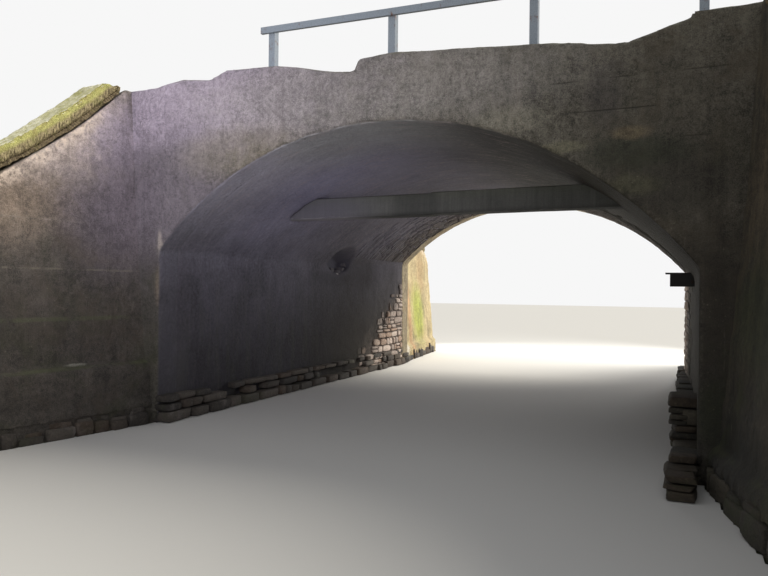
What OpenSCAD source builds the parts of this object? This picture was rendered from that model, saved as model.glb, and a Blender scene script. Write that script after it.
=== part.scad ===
// Single-arch stone bridge over a stream, widened on its near side.
// X runs along the faces, Y along the barrel from the near face to the far one, Z up.
// The origin is midway between the jambs and between the faces, at the lowest course.

/* [Opening] */
// Clear width between the jambs of the near part
span = 5380; // [5200:20:5480]
// Height of the crown of the arch over the lowest course
crown_height = 3070; // [3020:10:3100]
// Radius of the arch
arch_radius = 3480; // [3400:10:3560]
// How far the centre of the arch lies to the right of the middle of the opening
arch_shift = -90; // [-120:10:0]
// Length of barrel in the near part
near_length = 4000; // [3800:50:4200]
// Length of barrel in the far part
far_length = 3100; // [2900:50:3300]
// How far each jamb of the far part stands in from the near ones
far_inset = 105; // [60:5:120]

/* [Walls] */
// Thickness of the vault
vault_t = 280; // [260:10:300]
// Thickness of the face walls and parapets
face_t = 350; // [300:10:400]
// Depth of each abutment behind its jamb
abutment_depth = 1250; // [1100:50:1400]
// Height of the abutments
abutment_height = 2400; // [2360:10:2440]
// Height of the lift on which the spandrels begin
lift_height = 1660; // [1600:10:1670]
// Height at which the parapets begin
parapet_base = 3240; // [3220:10:3260]
// Top of the end blocks of the parapets
parapet_top = 3700; // [3680:10:3760]
// Height of the road bed at mid-span
road_height = 3420; // [3400:5:3440]
// Fall of the road bed from mid-span to each end
road_fall = 90; // [40:10:120]

/* [Wings] */
// How far the wings run out from each face
wing_reach = 2850; // [2600:50:3000]
// Thickness of a wing at the height of the parapets
wing_t = 450; // [400:10:500]
// How much further towards the stream a wing stands at its foot
wing_batter = 280; // [200:10:300]
// Outward angle of the near wings from the line of the barrel
near_flare = 11; // [8:1:14]
// Outward angle of the far wings from the line of the barrel
far_flare = 7; // [5:1:10]
// Distance of a wing's foot from the jamb
wing_gap = 115; // [100:5:140]
// Radius of the hollow curve of the wing tops
sweep_radius = 7500; // [7200:100:7800]
// Height of the plinth on the near left wing
plinth_height = 670; // [600:10:720]

/* [Footings, beam and railings] */
// Height of the footing along the left wall
left_footing_height = 300; // [240:10:330]
// Height of the footing along the right wall
right_footing_height = 730; // [660:10:760]
// Underside of the cross beam
beam_bottom = 2400; // [2380:10:2430]
// Height of the cross beam
beam_height = 270; // [250:10:280]
// Distance of the cross beam behind the near face
beam_setback = 1850; // [1700:50:2200]
// Distance between railing posts
post_spacing = 1400; // [1300:20:1420]
// Top of the railing posts at the left
post_top = 4290; // [4200:10:4350]

/* [Hidden] */
$fn = 96;

half_near = span / 2;
half_far = half_near - far_inset;
near_y = -(near_length + far_length) / 2;
far_y = -near_y;
join_y = near_y + near_length;
arch_z = crown_height - arch_radius;
outer_radius = arch_radius + vault_t;
back_x = half_near + abutment_depth;
beyond = 9000;

// Height at which the arch meets the jamb on one side, side being -1 at the left and 1 at the right
function springing(half, side) = arch_z + sqrt(pow(arch_radius, 2) - pow(half - side * arch_shift, 2));

// Lays a figure drawn in X and Z between two places along the barrel
module along(y0, y1) {
    translate([0, y1, 0]) rotate([90, 0, 0]) linear_extrude(y1 - y0) children();
}

module arch_cylinder(radius, y0, y1) {
    translate([arch_shift, y1, arch_z]) rotate([90, 0, 0]) cylinder(r = radius, h = y1 - y0, $fn = 720);
}

// Wedge over both skewbacks, which the vault fills
module skew_wedge(half, y0, y1) {
    left = springing(half, -1);
    right = springing(half, 1);
    reach = 2;
    along(y0, y1) polygon([
        [arch_shift, arch_z],
        [arch_shift + reach * (half - arch_shift), arch_z + reach * (right - arch_z)],
        [arch_shift + reach * (half - arch_shift), beyond],
        [arch_shift - reach * (half + arch_shift), beyond],
        [arch_shift - reach * (half + arch_shift), arch_z + reach * (left - arch_z)]]);
}

module vault(half, y0, y1) {
    difference() {
        intersection() {
            arch_cylinder(outer_radius, y0, y1);
            skew_wedge(half, y0, y1);
        }
        arch_cylinder(arch_radius, y0 - 10, y1 + 10);
    }
}

// Block behind one jamb, cut back to a skewback where the vault springs
module abutment(side, half, y0, y1) {
    difference() {
        translate([side > 0 ? half : -back_x, y0, 0]) cube([back_x - half, y1 - y0, abutment_height]);
        intersection() {
            arch_cylinder(outer_radius, y0 - 10, y1 + 10);
            skew_wedge(half, y0 - 10, y1 + 10);
        }
    }
}

module jamb(side, half, y0) {
    translate([side > 0 ? half : -back_x, y0, 0]) cube([back_x - half, face_t, lift_height]);
}

// Face wall over one lift line, cut out by the jambs' upper ends and the arch
module spandrel(half, y0) {
    difference() {
        translate([-back_x, y0, lift_height]) cube([2 * back_x, face_t, parapet_base - lift_height]);
        intersection() {
            arch_cylinder(arch_radius, y0 - 10, y0 + face_t + 10);
            translate([-half, y0 - 20, 0]) cube([2 * half, face_t + 40, parapet_base]);
        }
    }
}

// Ragged hole beside the step between the two parts, where stones are gone, with its edge in Y and Z
hole_edge = [[290, 1960], [330, 2080], [450, 2165], [600, 2195], [780, 2170], [960, 2110], [1070, 2020],
             [1080, 1930], [1000, 1850], [850, 1790], [680, 1765], [500, 1780], [360, 1850]];
hole_depth = 250;
module hole() {
    translate([-half_far - hole_depth, 0, 0]) rotate([90, 0, 90])
        linear_extrude(3 * hole_depth) polygon(hole_edge);
}

// Cut end of a beam in the right wall, with a thin plate on top
stub_y = 200;
stub_z = 1565;
stub_size = [284, 240, 162];
stub_seat = 100;
plate_lip = 56;
plate_t = 18;
module stub_solid() {
    translate([half_near - stub_size.x, stub_y, stub_z])
        cube([stub_size.x + stub_seat, stub_size.y, stub_size.z]);
    translate([half_near - stub_size.x - plate_lip, stub_y, stub_z + stub_size.z - 1])
        cube([stub_size.x + plate_lip + stub_seat, stub_size.y, plate_t + 1]);
}

module near_left_abutment() color("dimgray") difference() {
    abutment(-1, half_near, near_y + face_t, join_y);
    hole();
}
module near_right_abutment() color("dimgray") difference() {
    abutment(1, half_near, near_y + face_t, join_y);
    stub_solid();
}
module beam_stub() color("black") stub_solid();
module near_left_jamb() color("gray") jamb(-1, half_near, near_y);
module near_right_jamb() color("gray") jamb(1, half_near, near_y);
module far_left_jamb() color("gray") jamb(-1, half_far, far_y - face_t);
module far_right_jamb() color("gray") jamb(1, half_far, far_y - face_t);
module near_spandrel() color("gray") spandrel(half_near, near_y);
module far_spandrel() color("gray") spandrel(half_far, far_y - face_t);
module far_right_abutment() color("rosybrown") abutment(1, half_far, join_y, far_y - face_t);
module far_left_abutment() color("rosybrown") difference() {
    abutment(-1, half_far, join_y, far_y - face_t);
    hole();
}
module far_vault() color("rosybrown") difference() {
    vault(half_far, join_y, far_y - face_t);
    hole();
}

beam_depth = 250;
beam_seat = 100;
beam_y = near_y + beam_setback;
beam_left = arch_shift - sqrt(pow(arch_radius, 2) - pow(beam_bottom - arch_z, 2)) - beam_seat;
beam_right = arch_shift + sqrt(pow(arch_radius, 2) - pow(beam_bottom - arch_z, 2)) + beam_seat;
beam_splice = -200;
beam_drop = 12;

module beam_solid() {
    translate([beam_left, beam_y, beam_bottom - beam_drop])
        cube([beam_splice - beam_left, beam_depth, beam_height]);
    translate([beam_splice - 1, beam_y, beam_bottom])
        cube([beam_right - beam_splice + 1, beam_depth, beam_height]);
}

module near_vault() color("slategray") difference() {
    vault(half_near, near_y + face_t, join_y);
    beam_solid();
    stub_solid();
    hole();
}

module cross_beam() color("darkslategray") beam_solid();

// Road bed over the vaults, with a gentle hump
road_steps = 12;
function road_z(x) = road_height - road_fall * pow(x / back_x, 2);
module road_bed() color("darkkhaki") difference() {
    y0 = near_y + face_t;
    y1 = far_y - face_t;
    union() {
        along(y0, y1) polygon([
            [-back_x, abutment_height],
            [back_x, abutment_height],
            for (i = [0 : road_steps]) let (x = back_x * (1 - 2 * i / road_steps)) [x, road_z(x)]]);
        translate([-half_far, y0, abutment_height - 500]) cube([2 * half_far, y1 - y0, 501]);
    }
    arch_cylinder(outer_radius, y0 - 10, y1 + 10);
}

// Broken top line of the parapets, from left to right
block_w = 485;
parapet_x = 2700;
near_crest = [[-2700, 3715], [-2410, 3750], [-2040, 3705], [-1830, 3785], [-1210, 3755], [-530, 3610],
              [-330, 3585], [-290, 3700], [60, 3720], [1540, 3605], [2150, 3525], [2430, 3605], [2700, 3675]];
module crest_wall(crest, y0) {
    along(y0, y0 + face_t) polygon(concat([[-parapet_x, parapet_base]], crest, [[parapet_x, parapet_base]]));
}
module near_parapet() color("gray") crest_wall(near_crest, near_y);
module far_parapet() color("gray") mirror([1, 0, 0]) crest_wall(near_crest, far_y - face_t);

module end_block(side, end) {
    proud = 40;
    x0 = side > 0 ? parapet_x : -parapet_x - block_w;
    y0 = end < 0 ? near_y : far_y - face_t - proud;
    translate([x0, y0, parapet_base]) cube([block_w, face_t + proud, parapet_top - parapet_base]);
}
module near_left_end_block() color("gray") end_block(-1, -1);
module near_right_end_block() color("gray") end_block(1, -1);
module far_left_end_block() color("gray") end_block(-1, 1);
module far_right_end_block() color("gray") end_block(1, 1);

// A wing is drawn at the left of the near face, from its foot, and turned to its place:
// U runs outward along the wing, V away from the stream and Z up
near_sweep = [5570, 8868];
far_sweep = [4685, 9636];
coping_t = 210;
lip = 40;
coping_start = 200;
wing_run = wing_reach * 1.2;
wing_lifts = [670, 1160, 1660, 2150];
ledge = 12;

module wing_place(side, end) {
    flare = end < 0 ? near_flare : far_flare;
    half = end < 0 ? half_near : half_far;
    mirror([side > 0 ? 1 : 0, 0, 0]) mirror([0, end > 0 ? 1 : 0, 0])
        translate([-half - wing_gap, near_y, 0]) rotate([0, 0, -90 - flare]) children();
}

module wing_limits(end) {
    translate([-beyond, end < 0 ? near_y - wing_reach : far_y, -10])
        cube([2 * beyond, wing_reach, parapet_top + 10]);
}

// Cylinder across the wing whose underside is the hollow top line
module sweep_cut(sweep, radius) {
    translate([sweep.x, beyond / 2, sweep.y]) rotate([90, 0, 0]) cylinder(r = radius, h = beyond, $fn = 720);
}

// Section of a wing in V and Z: its leaning front steps back by a ledge at each lift
function front_v(z, lift) = (wing_batter - len(wing_lifts) * ledge) * z / parapet_top + lift * ledge;
module wing_section() {
    steps = [for (i = [0 : len(wing_lifts) - 1]) let (z = wing_lifts[i]) each
             [[front_v(z, i), z], [front_v(z, i + 1), z]]];
    back = wing_batter + wing_t;
    polygon(concat([[0, 0]], steps, [[wing_batter, parapet_top], [back, parapet_top], [back, 0]]));
}

module wing(side, end) {
    sweep = end < 0 ? near_sweep : far_sweep;
    intersection() {
        wing_limits(end);
        wing_place(side, end) mirror([0, 1, 0]) difference() {
            translate([-500, 0, 0]) rotate([90, 0, 90]) linear_extrude(wing_run + 500) wing_section();
            sweep_cut(sweep, sweep_radius);
        }
    }
}

// A coping has a square head and a narrow level bed under its outer end
module coping(side, end) {
    sweep = end < 0 ? near_sweep : far_sweep;
    flare = end < 0 ? near_flare : far_flare;
    v0 = wing_batter - lip;
    v1 = wing_batter + wing_t + lip;
    end_u = (wing_reach + v1 * sin(flare)) / cos(flare);
    bed = sweep.y - sqrt(pow(sweep_radius, 2) - pow(sweep.x - end_u, 2)) + 3;
    intersection() {
        wing_limits(end);
        wing_place(side, end) mirror([0, 1, 0]) intersection() {
            translate([coping_start, v0 - 10, bed]) cube([beyond, v1 - v0 + 20, beyond]);
            translate([sweep.x, 0, sweep.y]) rotate([90, 0, 0]) mirror([0, 0, 1]) translate([0, 0, v0])
                rotate_extrude($fn = 720)
                    translate([sweep_radius - coping_t, 0]) square([coping_t, v1 - v0]);
        }
    }
}

// Foot stones along a wing; on the near left one a thin skirt stands on them, with a weathered top
module plinth(side, end) {
    foot = 110;
    skirt = 28;
    weathering = 16;
    top = side < 0 && end < 0 ? plinth_height : left_footing_height + 20;
    intersection() {
        wing_limits(end);
        wing_place(side, end) mirror([0, 1, 0]) difference() {
            translate([-500, 0, 0]) rotate([90, 0, 90]) linear_extrude(wing_run + 500) polygon([
                [-foot, 0], [wing_batter, 0], [wing_batter, top], [front_v(top, 0), top],
                [-skirt, top - weathering], [-skirt, left_footing_height - 40],
                [-foot, left_footing_height - 60]]);
            translate([-600, 0, 0]) rotate([90, 0, 90]) linear_extrude(wing_run + 700) wing_section();
        }
    }
}

module near_left_wing() color("gray") wing(-1, -1);
module near_right_wing() color("gray") wing(1, -1);
module far_left_wing() color("gray") wing(-1, 1);
module far_right_wing() color("gray") wing(1, 1);
module near_left_coping() color("olivedrab") coping(-1, -1);
module near_right_coping() color("olivedrab") coping(1, -1);
module far_left_coping() color("olivedrab") coping(-1, 1);
module far_right_coping() color("olivedrab") coping(1, 1);
module near_left_plinth() color("darkolivegreen") plinth(-1, -1);
module near_right_plinth() color("darkolivegreen") plinth(1, -1);
module far_left_plinth() color("darkolivegreen") plinth(-1, 1);
module far_right_plinth() color("darkolivegreen") plinth(1, 1);

// Rough courses along the foot of each wall, from the lowest up: share of the height and set-out.
// The courses over the second one start further in along the barrel.
left_courses = [[165, 180], [135, 130]];
right_courses = [[160, 225], [100, 200], [80, 215], [60, 180],
                 [75, 205], [65, 175], [80, 200], [110, 190]];
function below(courses, i) = i == 0 ? 0 : below(courses, i - 1) + courses[i - 1][0];
upper_start = 600;
module footing(side, courses, height) {
    share = height / below(courses, len(courses));
    for (i = [0 : len(courses) - 1]) {
        z = share * below(courses, i);
        course = share * courses[i][0];
        out = courses[i][1];
        y0 = near_y + (i < 2 ? 0 : upper_start);
        translate([side > 0 ? half_near - out : -half_near, y0, z]) cube([out, join_y - y0, course]);
        translate([side > 0 ? half_near - out : -half_far, join_y, z])
            cube([out - far_inset, far_length, course]);
    }
}

// Large stones at the foot of the right wing, in line with the right footing
toe = [245, 550, 240];
module left_footing() color("dimgray") footing(-1, left_courses, left_footing_height);
module right_footing() color("dimgray") {
    footing(1, right_courses, right_footing_height);
    translate([half_near - toe.x, near_y - toe.y, 0]) cube([toe.x, toe.y + 1, toe.z]);
}

// Square posts on the parapets, carrying one thin rail that falls slightly to the right
post_w = 75;
first_post = -1480;
rail_fall = 0.02;
rail_d = 34;
function post_x(i) = first_post + i * post_spacing;
function rail_z(x) = post_top - rail_fall * (x - first_post) - rail_d;

module post(i) {
    x = post_x(i);
    translate([x - post_w / 2, near_y + face_t, parapet_base])
        cube([post_w, post_w, rail_z(x) + rail_d - parapet_base]);
}

module handrail() {
    x0 = first_post - 120;
    x1 = post_x(3) + 120;
    tilt = atan(rail_fall);
    translate([x0, near_y + face_t - rail_d, rail_z(x0) - rail_d]) rotate([0, tilt, 0])
        cube([(x1 - x0) / cos(tilt), rail_d, 2 * rail_d]);
}

module far_side() rotate([0, 0, 180]) children();
module near_post_1() color("lightsteelblue") post(0);
module near_post_2() color("lightsteelblue") post(1);
module near_post_3() color("lightsteelblue") post(2);
module near_post_4() color("lightsteelblue") post(3);
module near_handrail() color("lightsteelblue") handrail();
module far_post_1() color("lightsteelblue") far_side() post(0);
module far_post_2() color("lightsteelblue") far_side() post(1);
module far_post_3() color("lightsteelblue") far_side() post(2);
module far_post_4() color("lightsteelblue") far_side() post(3);
module far_handrail() color("lightsteelblue") far_side() handrail();

near_left_abutment();
near_right_abutment();
far_left_abutment();
far_right_abutment();
near_left_jamb();
near_right_jamb();
far_left_jamb();
far_right_jamb();
near_vault();
far_vault();
near_spandrel();
far_spandrel();
near_parapet();
far_parapet();
near_left_end_block();
near_right_end_block();
far_left_end_block();
far_right_end_block();
road_bed();
near_left_wing();
near_right_wing();
far_left_wing();
far_right_wing();
near_left_coping();
near_right_coping();
far_left_coping();
far_right_coping();
near_left_plinth();
near_right_plinth();
far_left_plinth();
far_right_plinth();
left_footing();
right_footing();
cross_beam();
beam_stub();
near_post_1();
near_post_2();
near_post_3();
near_post_4();
near_handrail();
far_post_1();
far_post_2();
far_post_3();
far_post_4();
far_handrail();
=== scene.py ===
"""Looks of the widened stone bridge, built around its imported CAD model, in metres."""
import itertools
import math

import bmesh
import bpy
import numpy as np
from mathutils import Matrix, Vector


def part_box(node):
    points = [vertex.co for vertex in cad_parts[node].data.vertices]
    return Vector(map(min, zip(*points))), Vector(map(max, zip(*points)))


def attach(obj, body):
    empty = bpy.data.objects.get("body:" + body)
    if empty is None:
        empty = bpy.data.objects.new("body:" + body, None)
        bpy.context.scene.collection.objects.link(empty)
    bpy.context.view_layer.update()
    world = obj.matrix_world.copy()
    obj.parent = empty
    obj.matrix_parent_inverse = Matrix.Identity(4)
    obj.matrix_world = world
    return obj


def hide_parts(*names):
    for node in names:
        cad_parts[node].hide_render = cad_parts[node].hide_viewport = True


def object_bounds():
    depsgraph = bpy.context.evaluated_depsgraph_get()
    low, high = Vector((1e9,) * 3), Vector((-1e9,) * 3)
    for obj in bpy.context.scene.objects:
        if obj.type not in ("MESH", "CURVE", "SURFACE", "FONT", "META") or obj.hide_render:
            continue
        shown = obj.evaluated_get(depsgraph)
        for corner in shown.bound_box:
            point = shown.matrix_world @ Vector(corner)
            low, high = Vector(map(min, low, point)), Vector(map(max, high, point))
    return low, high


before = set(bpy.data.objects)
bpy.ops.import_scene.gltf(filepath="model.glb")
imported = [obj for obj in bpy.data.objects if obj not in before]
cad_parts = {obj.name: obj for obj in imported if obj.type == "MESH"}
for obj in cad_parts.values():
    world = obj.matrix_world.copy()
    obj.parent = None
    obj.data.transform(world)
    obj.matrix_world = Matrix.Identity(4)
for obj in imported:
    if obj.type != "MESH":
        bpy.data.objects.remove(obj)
cad_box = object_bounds()

# Camera: its place, its turns in radians and its lens in millimetres
CAMERA_PLACE = Vector((2.6075, -9.356, 1.5))
CAMERA_YAW = 0.419
CAMERA_PITCH = 0.001
CAMERA_ROLL = 0.010
CAMERA_LENS = 31.875
CAMERA_SENSOR = 36.0
CAMERA_CLIP = (0.05, 300.0)

# Main places, read from the frame
NEAR_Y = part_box("near_spandrel")[0].y
NEAR_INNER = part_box("near_spandrel")[1].y
JOIN_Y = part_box("near_vault")[1].y
FAR_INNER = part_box("far_spandrel")[0].y
FAR_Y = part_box("far_spandrel")[1].y
HALF_NEAR = -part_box("near_left_jamb")[1].x
HALF_FAR = -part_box("far_left_jamb")[1].x
BACK_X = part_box("near_right_jamb")[1].x
WALL_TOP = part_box("far_left_abutment")[1].z
PARAPET_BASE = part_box("near_parapet")[0].z
PARAPET_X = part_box("near_parapet")[1].x
LIFT_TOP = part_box("near_left_jamb")[1].z

# The arch
ARCH_RADIUS = 3.48
ARCH_X = -0.09
ARCH_CROWN = 3.07
ARCH_Z = ARCH_CROWN - ARCH_RADIUS

# The wings: gap between jamb and foot, outward angle, and the centre and radius of the hollow top line
WING_GAP = 0.115
NEAR_FLARE = math.radians(11)
FAR_FLARE = math.radians(7)
NEAR_SWEEP = (5.57, 8.868)
FAR_SWEEP = (4.685, 9.636)
SWEEP_RADIUS = 7.5
COPING_THICK = 0.21
# Every wing, as its side and its end: -1 at the left and near, 1 at the right and far
WINGS = ((-1, -1), (1, -1), (-1, 1), (1, 1))
# Edges sharper than this, in radians, stay sharp in the shading
BLUNT_CORNER = 0.7


def springing(half, side):
    """Height at which the arch meets a wall, side being -1 at the left and 1 at the right."""
    return ARCH_Z + math.sqrt(ARCH_RADIUS ** 2 - (half - side * ARCH_X) ** 2)


def arch_angle(half, side):
    """Angle of that springing from the crown, about the arch's centre."""
    return side * math.asin((half - side * ARCH_X) / ARCH_RADIUS)


def half_at(y):
    """Half the width of the opening, which draws in evenly from the join to the far face."""
    return HALF_FAR + (HALF_NEAR - HALF_FAR) * np.clip((FAR_INNER - y) / (FAR_INNER - JOIN_Y), 0, 1)


def wing_name(side, end):
    """Start of the names of a wing's nodes, such as near_left."""
    return f"{'near' if end < 0 else 'far'}_{'left' if side < 0 else 'right'}"


def wing_axes(side, end):
    """Foot of a wing at its face, and its directions outward and to its front, on the opening's side."""
    flare = NEAR_FLARE if end < 0 else FAR_FLARE
    half = HALF_NEAR if end < 0 else HALF_FAR
    foot = np.array([side * (half + WING_GAP), NEAR_Y if end < 0 else FAR_Y, 0.0])
    outward = np.array([side * math.sin(flare), end * math.cos(flare), 0.0])
    frontward = np.array([-side * math.cos(flare), end * math.sin(flare), 0.0])
    return foot, outward, frontward


def above_wing(points, side, end):
    """Height of points over the hollow top line of a wing."""
    foot, outward, _ = wing_axes(side, end)
    sweep = NEAR_SWEEP if end < 0 else FAR_SWEEP
    away = sweep[0] - (points - foot) @ outward
    return points[:, 2] - (sweep[1] - np.sqrt(np.maximum(SWEEP_RADIUS ** 2 - away ** 2, 0)))


def about_arch(points):
    """Angle of points from the crown, and their distance from the arch's centre."""
    across, up = points[:, 0] - ARCH_X, points[:, 2] - ARCH_Z
    return np.arctan2(across, up), np.hypot(across, up)


def inside_opening(points, normals):
    """1 on the surfaces that line the opening of the near face wall, and 0 elsewhere."""
    reach = 0.07
    jamb_top = springing(HALF_NEAR, -1) + 0.05
    on_arch = (np.abs(about_arch(points)[1] - ARCH_RADIUS) < reach) & (points[:, 2] > LIFT_TOP)
    on_jamb = (np.abs(np.abs(points[:, 0]) - HALF_NEAR) < reach) & (points[:, 2] < jamb_top)
    return ramp(1 - np.abs(normals[:, 1]), 0.3, 0.8) * (on_arch | on_jamb)


def round_the_opening(points):
    """Distance round the near opening from the crown, along the vault and then down the walls."""
    left = points[:, 0] < 0
    spring = np.where(left, springing(HALF_NEAR, -1), springing(HALF_NEAR, 1))
    last = np.where(left, arch_angle(HALF_NEAR, -1), arch_angle(HALF_NEAR, 1))
    down = np.maximum(spring - points[:, 2], 0)
    return ARCH_RADIUS * np.where(down > 0, last, about_arch(points)[0]) + np.where(left, -down, down)


# Noise on points

# Large odd numbers that scatter whole-number places and a seed, and the most that 32 bits hold
SCATTER = (73856093, 19349663, 83492791)
SEED_SCATTER = 982451653
MIXER = 1274126177
MOST = 0xFFFFFFFF


def lattice(cell, seed):
    """Random numbers from 0 to 1, one for each whole-number place."""
    x, y, z = (cell * SCATTER).T
    mixed = (x ^ y ^ z ^ (seed * SEED_SCATTER)) & MOST
    mixed = ((mixed ^ (mixed >> 13)) * MIXER) & MOST
    mixed ^= mixed >> 16
    return mixed / MOST


def waves(points, size, seed):
    """Smooth noise from -1 to 1, with swells about one size across."""
    scaled = points / size
    cell = np.floor(scaled).astype(np.int64)
    part = scaled - cell
    part = part * part * (3 - 2 * part)
    total = np.zeros(len(points))
    for corner in itertools.product((0, 1), repeat=3):
        weight = np.prod(np.where(np.array(corner) == 1, part, 1 - part), axis=1)
        total += weight * lattice(cell + np.array(corner), seed)
    return 2 * total - 1


def rough(points, size, layers, seed):
    """Several layers of noise, each half the size and strength of the one before."""
    strengths = [0.5 ** layer for layer in range(layers)]
    total = sum(s * waves(points, size * s, seed + layer) for layer, s in enumerate(strengths))
    return total / sum(strengths)


def ramp(values, low, high):
    """Goes smoothly from 0 at low to 1 at high."""
    share = np.clip((values - low) / (high - low), 0, 1)
    return share * share * (3 - 2 * share)


# Mesh helpers


def gathered(items, field, width=1, kind=float):
    """What a field says of each item of a mesh, as one array."""
    flat = np.empty(width * len(items), kind)
    items.foreach_get(field, flat)
    return flat.reshape(-1, width) if width > 1 else flat


def read_points(mesh):
    return gathered(mesh.vertices, "co", 3)


def vertex_normals(mesh):
    return gathered(mesh.vertices, "normal", 3)


def write_points(mesh, points):
    mesh.vertices.foreach_set("co", points.astype(np.float32).ravel())
    mesh.update()


def sharpness(mesh):
    """About 1 at the vertices of a sharp edge and 0 where the surface is flat."""
    corner_vertex = gathered(mesh.loops, "vertex_index", kind=np.int64)
    face_size = gathered(mesh.polygons, "loop_total", kind=np.int64)
    per_corner = np.repeat(gathered(mesh.polygons, "normal", 3), face_size, axis=0)
    total = np.zeros((len(mesh.vertices), 3))
    np.add.at(total, corner_vertex, per_corner)
    count = np.maximum(np.bincount(corner_vertex, minlength=len(mesh.vertices)), 1)
    return ramp(1 - np.linalg.norm(total, axis=1) / count, 0.02, 0.14)


def finished_piece(name, mesh, traits, material, slot, *stands_for):
    """Makes an object of a mesh and its traits, which rides with the bridge and may stand for CAD nodes."""
    for trait, values in traits.items():
        layer = mesh.attributes.new(trait, "FLOAT", "POINT")
        layer.data.foreach_set("value", np.asarray(values, np.float32))
    mesh.polygons.foreach_set("use_smooth", np.ones(len(mesh.polygons), bool))
    mesh.set_sharp_from_angle(angle=BLUNT_CORNER)
    mesh.update()
    piece = bpy.data.objects.new(name, mesh)
    bpy.context.scene.collection.objects.link(piece)
    mesh.materials.clear()
    mesh.materials.append(material)
    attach(piece, "root")
    if stands_for:
        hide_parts(*stands_for)


def shifted(axis, place, shift):
    """A change that moves the points of one plane, so that a node reaches into its neighbour."""
    tolerance = 0.0005

    def change(points):
        points[:, axis] += shift * (np.abs(points[:, axis] - place) < tolerance)
    return change


def voxel_copy(parts, voxel):
    """Even small faces over CAD nodes fused into one, each node after the changes given for it."""
    work = bmesh.new()
    for node, changes in parts.items():
        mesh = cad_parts[node].data.copy()
        points = read_points(mesh)
        for change in changes:
            change(points)
        write_points(mesh, points)
        work.from_mesh(mesh)
    joined = bpy.data.meshes.new("joined")
    work.to_mesh(joined)
    work.free()
    probe = bpy.data.objects.new("probe", joined)
    bpy.context.scene.collection.objects.link(probe)
    remesh = probe.modifiers.new("voxels", "REMESH")
    remesh.mode = "VOXEL"
    remesh.voxel_size = voxel
    bpy.context.view_layer.update()
    graph = bpy.context.evaluated_depsgraph_get()
    mesh = bpy.data.meshes.new_from_object(probe.evaluated_get(graph))
    bpy.data.objects.remove(probe)
    return mesh


def cut_across(mesh, levels):
    """Adds rows of edges at these heights, so that a step or groove there is crisp."""
    work = bmesh.new()
    work.from_mesh(mesh)
    for level in levels:
        geometry = work.verts[:] + work.edges[:] + work.faces[:]
        bmesh.ops.bisect_plane(work, geom=geometry, plane_co=(0, 0, level), plane_no=(0, 0, 1))
    work.to_mesh(mesh)
    work.free()


# Materials


class Value:
    """A socket of a material, written in sums as a number is."""

    def __init__(self, finish, socket):
        self.finish = finish
        self.socket = socket

    def calculate(self, operation, *operands):
        return self.finish.node("ShaderNodeMath", {"operation": operation}, dict(enumerate(operands)))

    def __add__(self, other):
        return self.calculate("ADD", self, other)

    def __sub__(self, other):
        return self.calculate("SUBTRACT", self, other)

    def __rsub__(self, other):
        return self.calculate("SUBTRACT", other, self)

    def __mul__(self, other):
        return self.calculate("MULTIPLY", self, other)

    __radd__ = __add__
    __rmul__ = __mul__

    def absolute(self):
        return self.calculate("ABSOLUTE", self)

    def between(self, low, high):
        """Goes from 0 at low to 1 at high, smoothly."""
        settings = {"interpolation_type": "SMOOTHSTEP"}
        return self.finish.node("ShaderNodeMapRange", settings, {0: self, 1: low, 2: high, 3: 0.0, 4: 1.0})


def colour(red, green, blue):
    """A colour given in the usual 0 to 255, as the shader's linear numbers."""
    linear = [((c / 255 + 0.055) / 1.055) ** 2.4 if c > 10 else c / 255 / 12.92 for c in (red, green, blue)]
    return (*linear, 1.0)


def toned(tint, factor):
    """A tint made darker, or lighter as far as white."""
    return tuple(min(255, c * factor) for c in tint)


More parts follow.
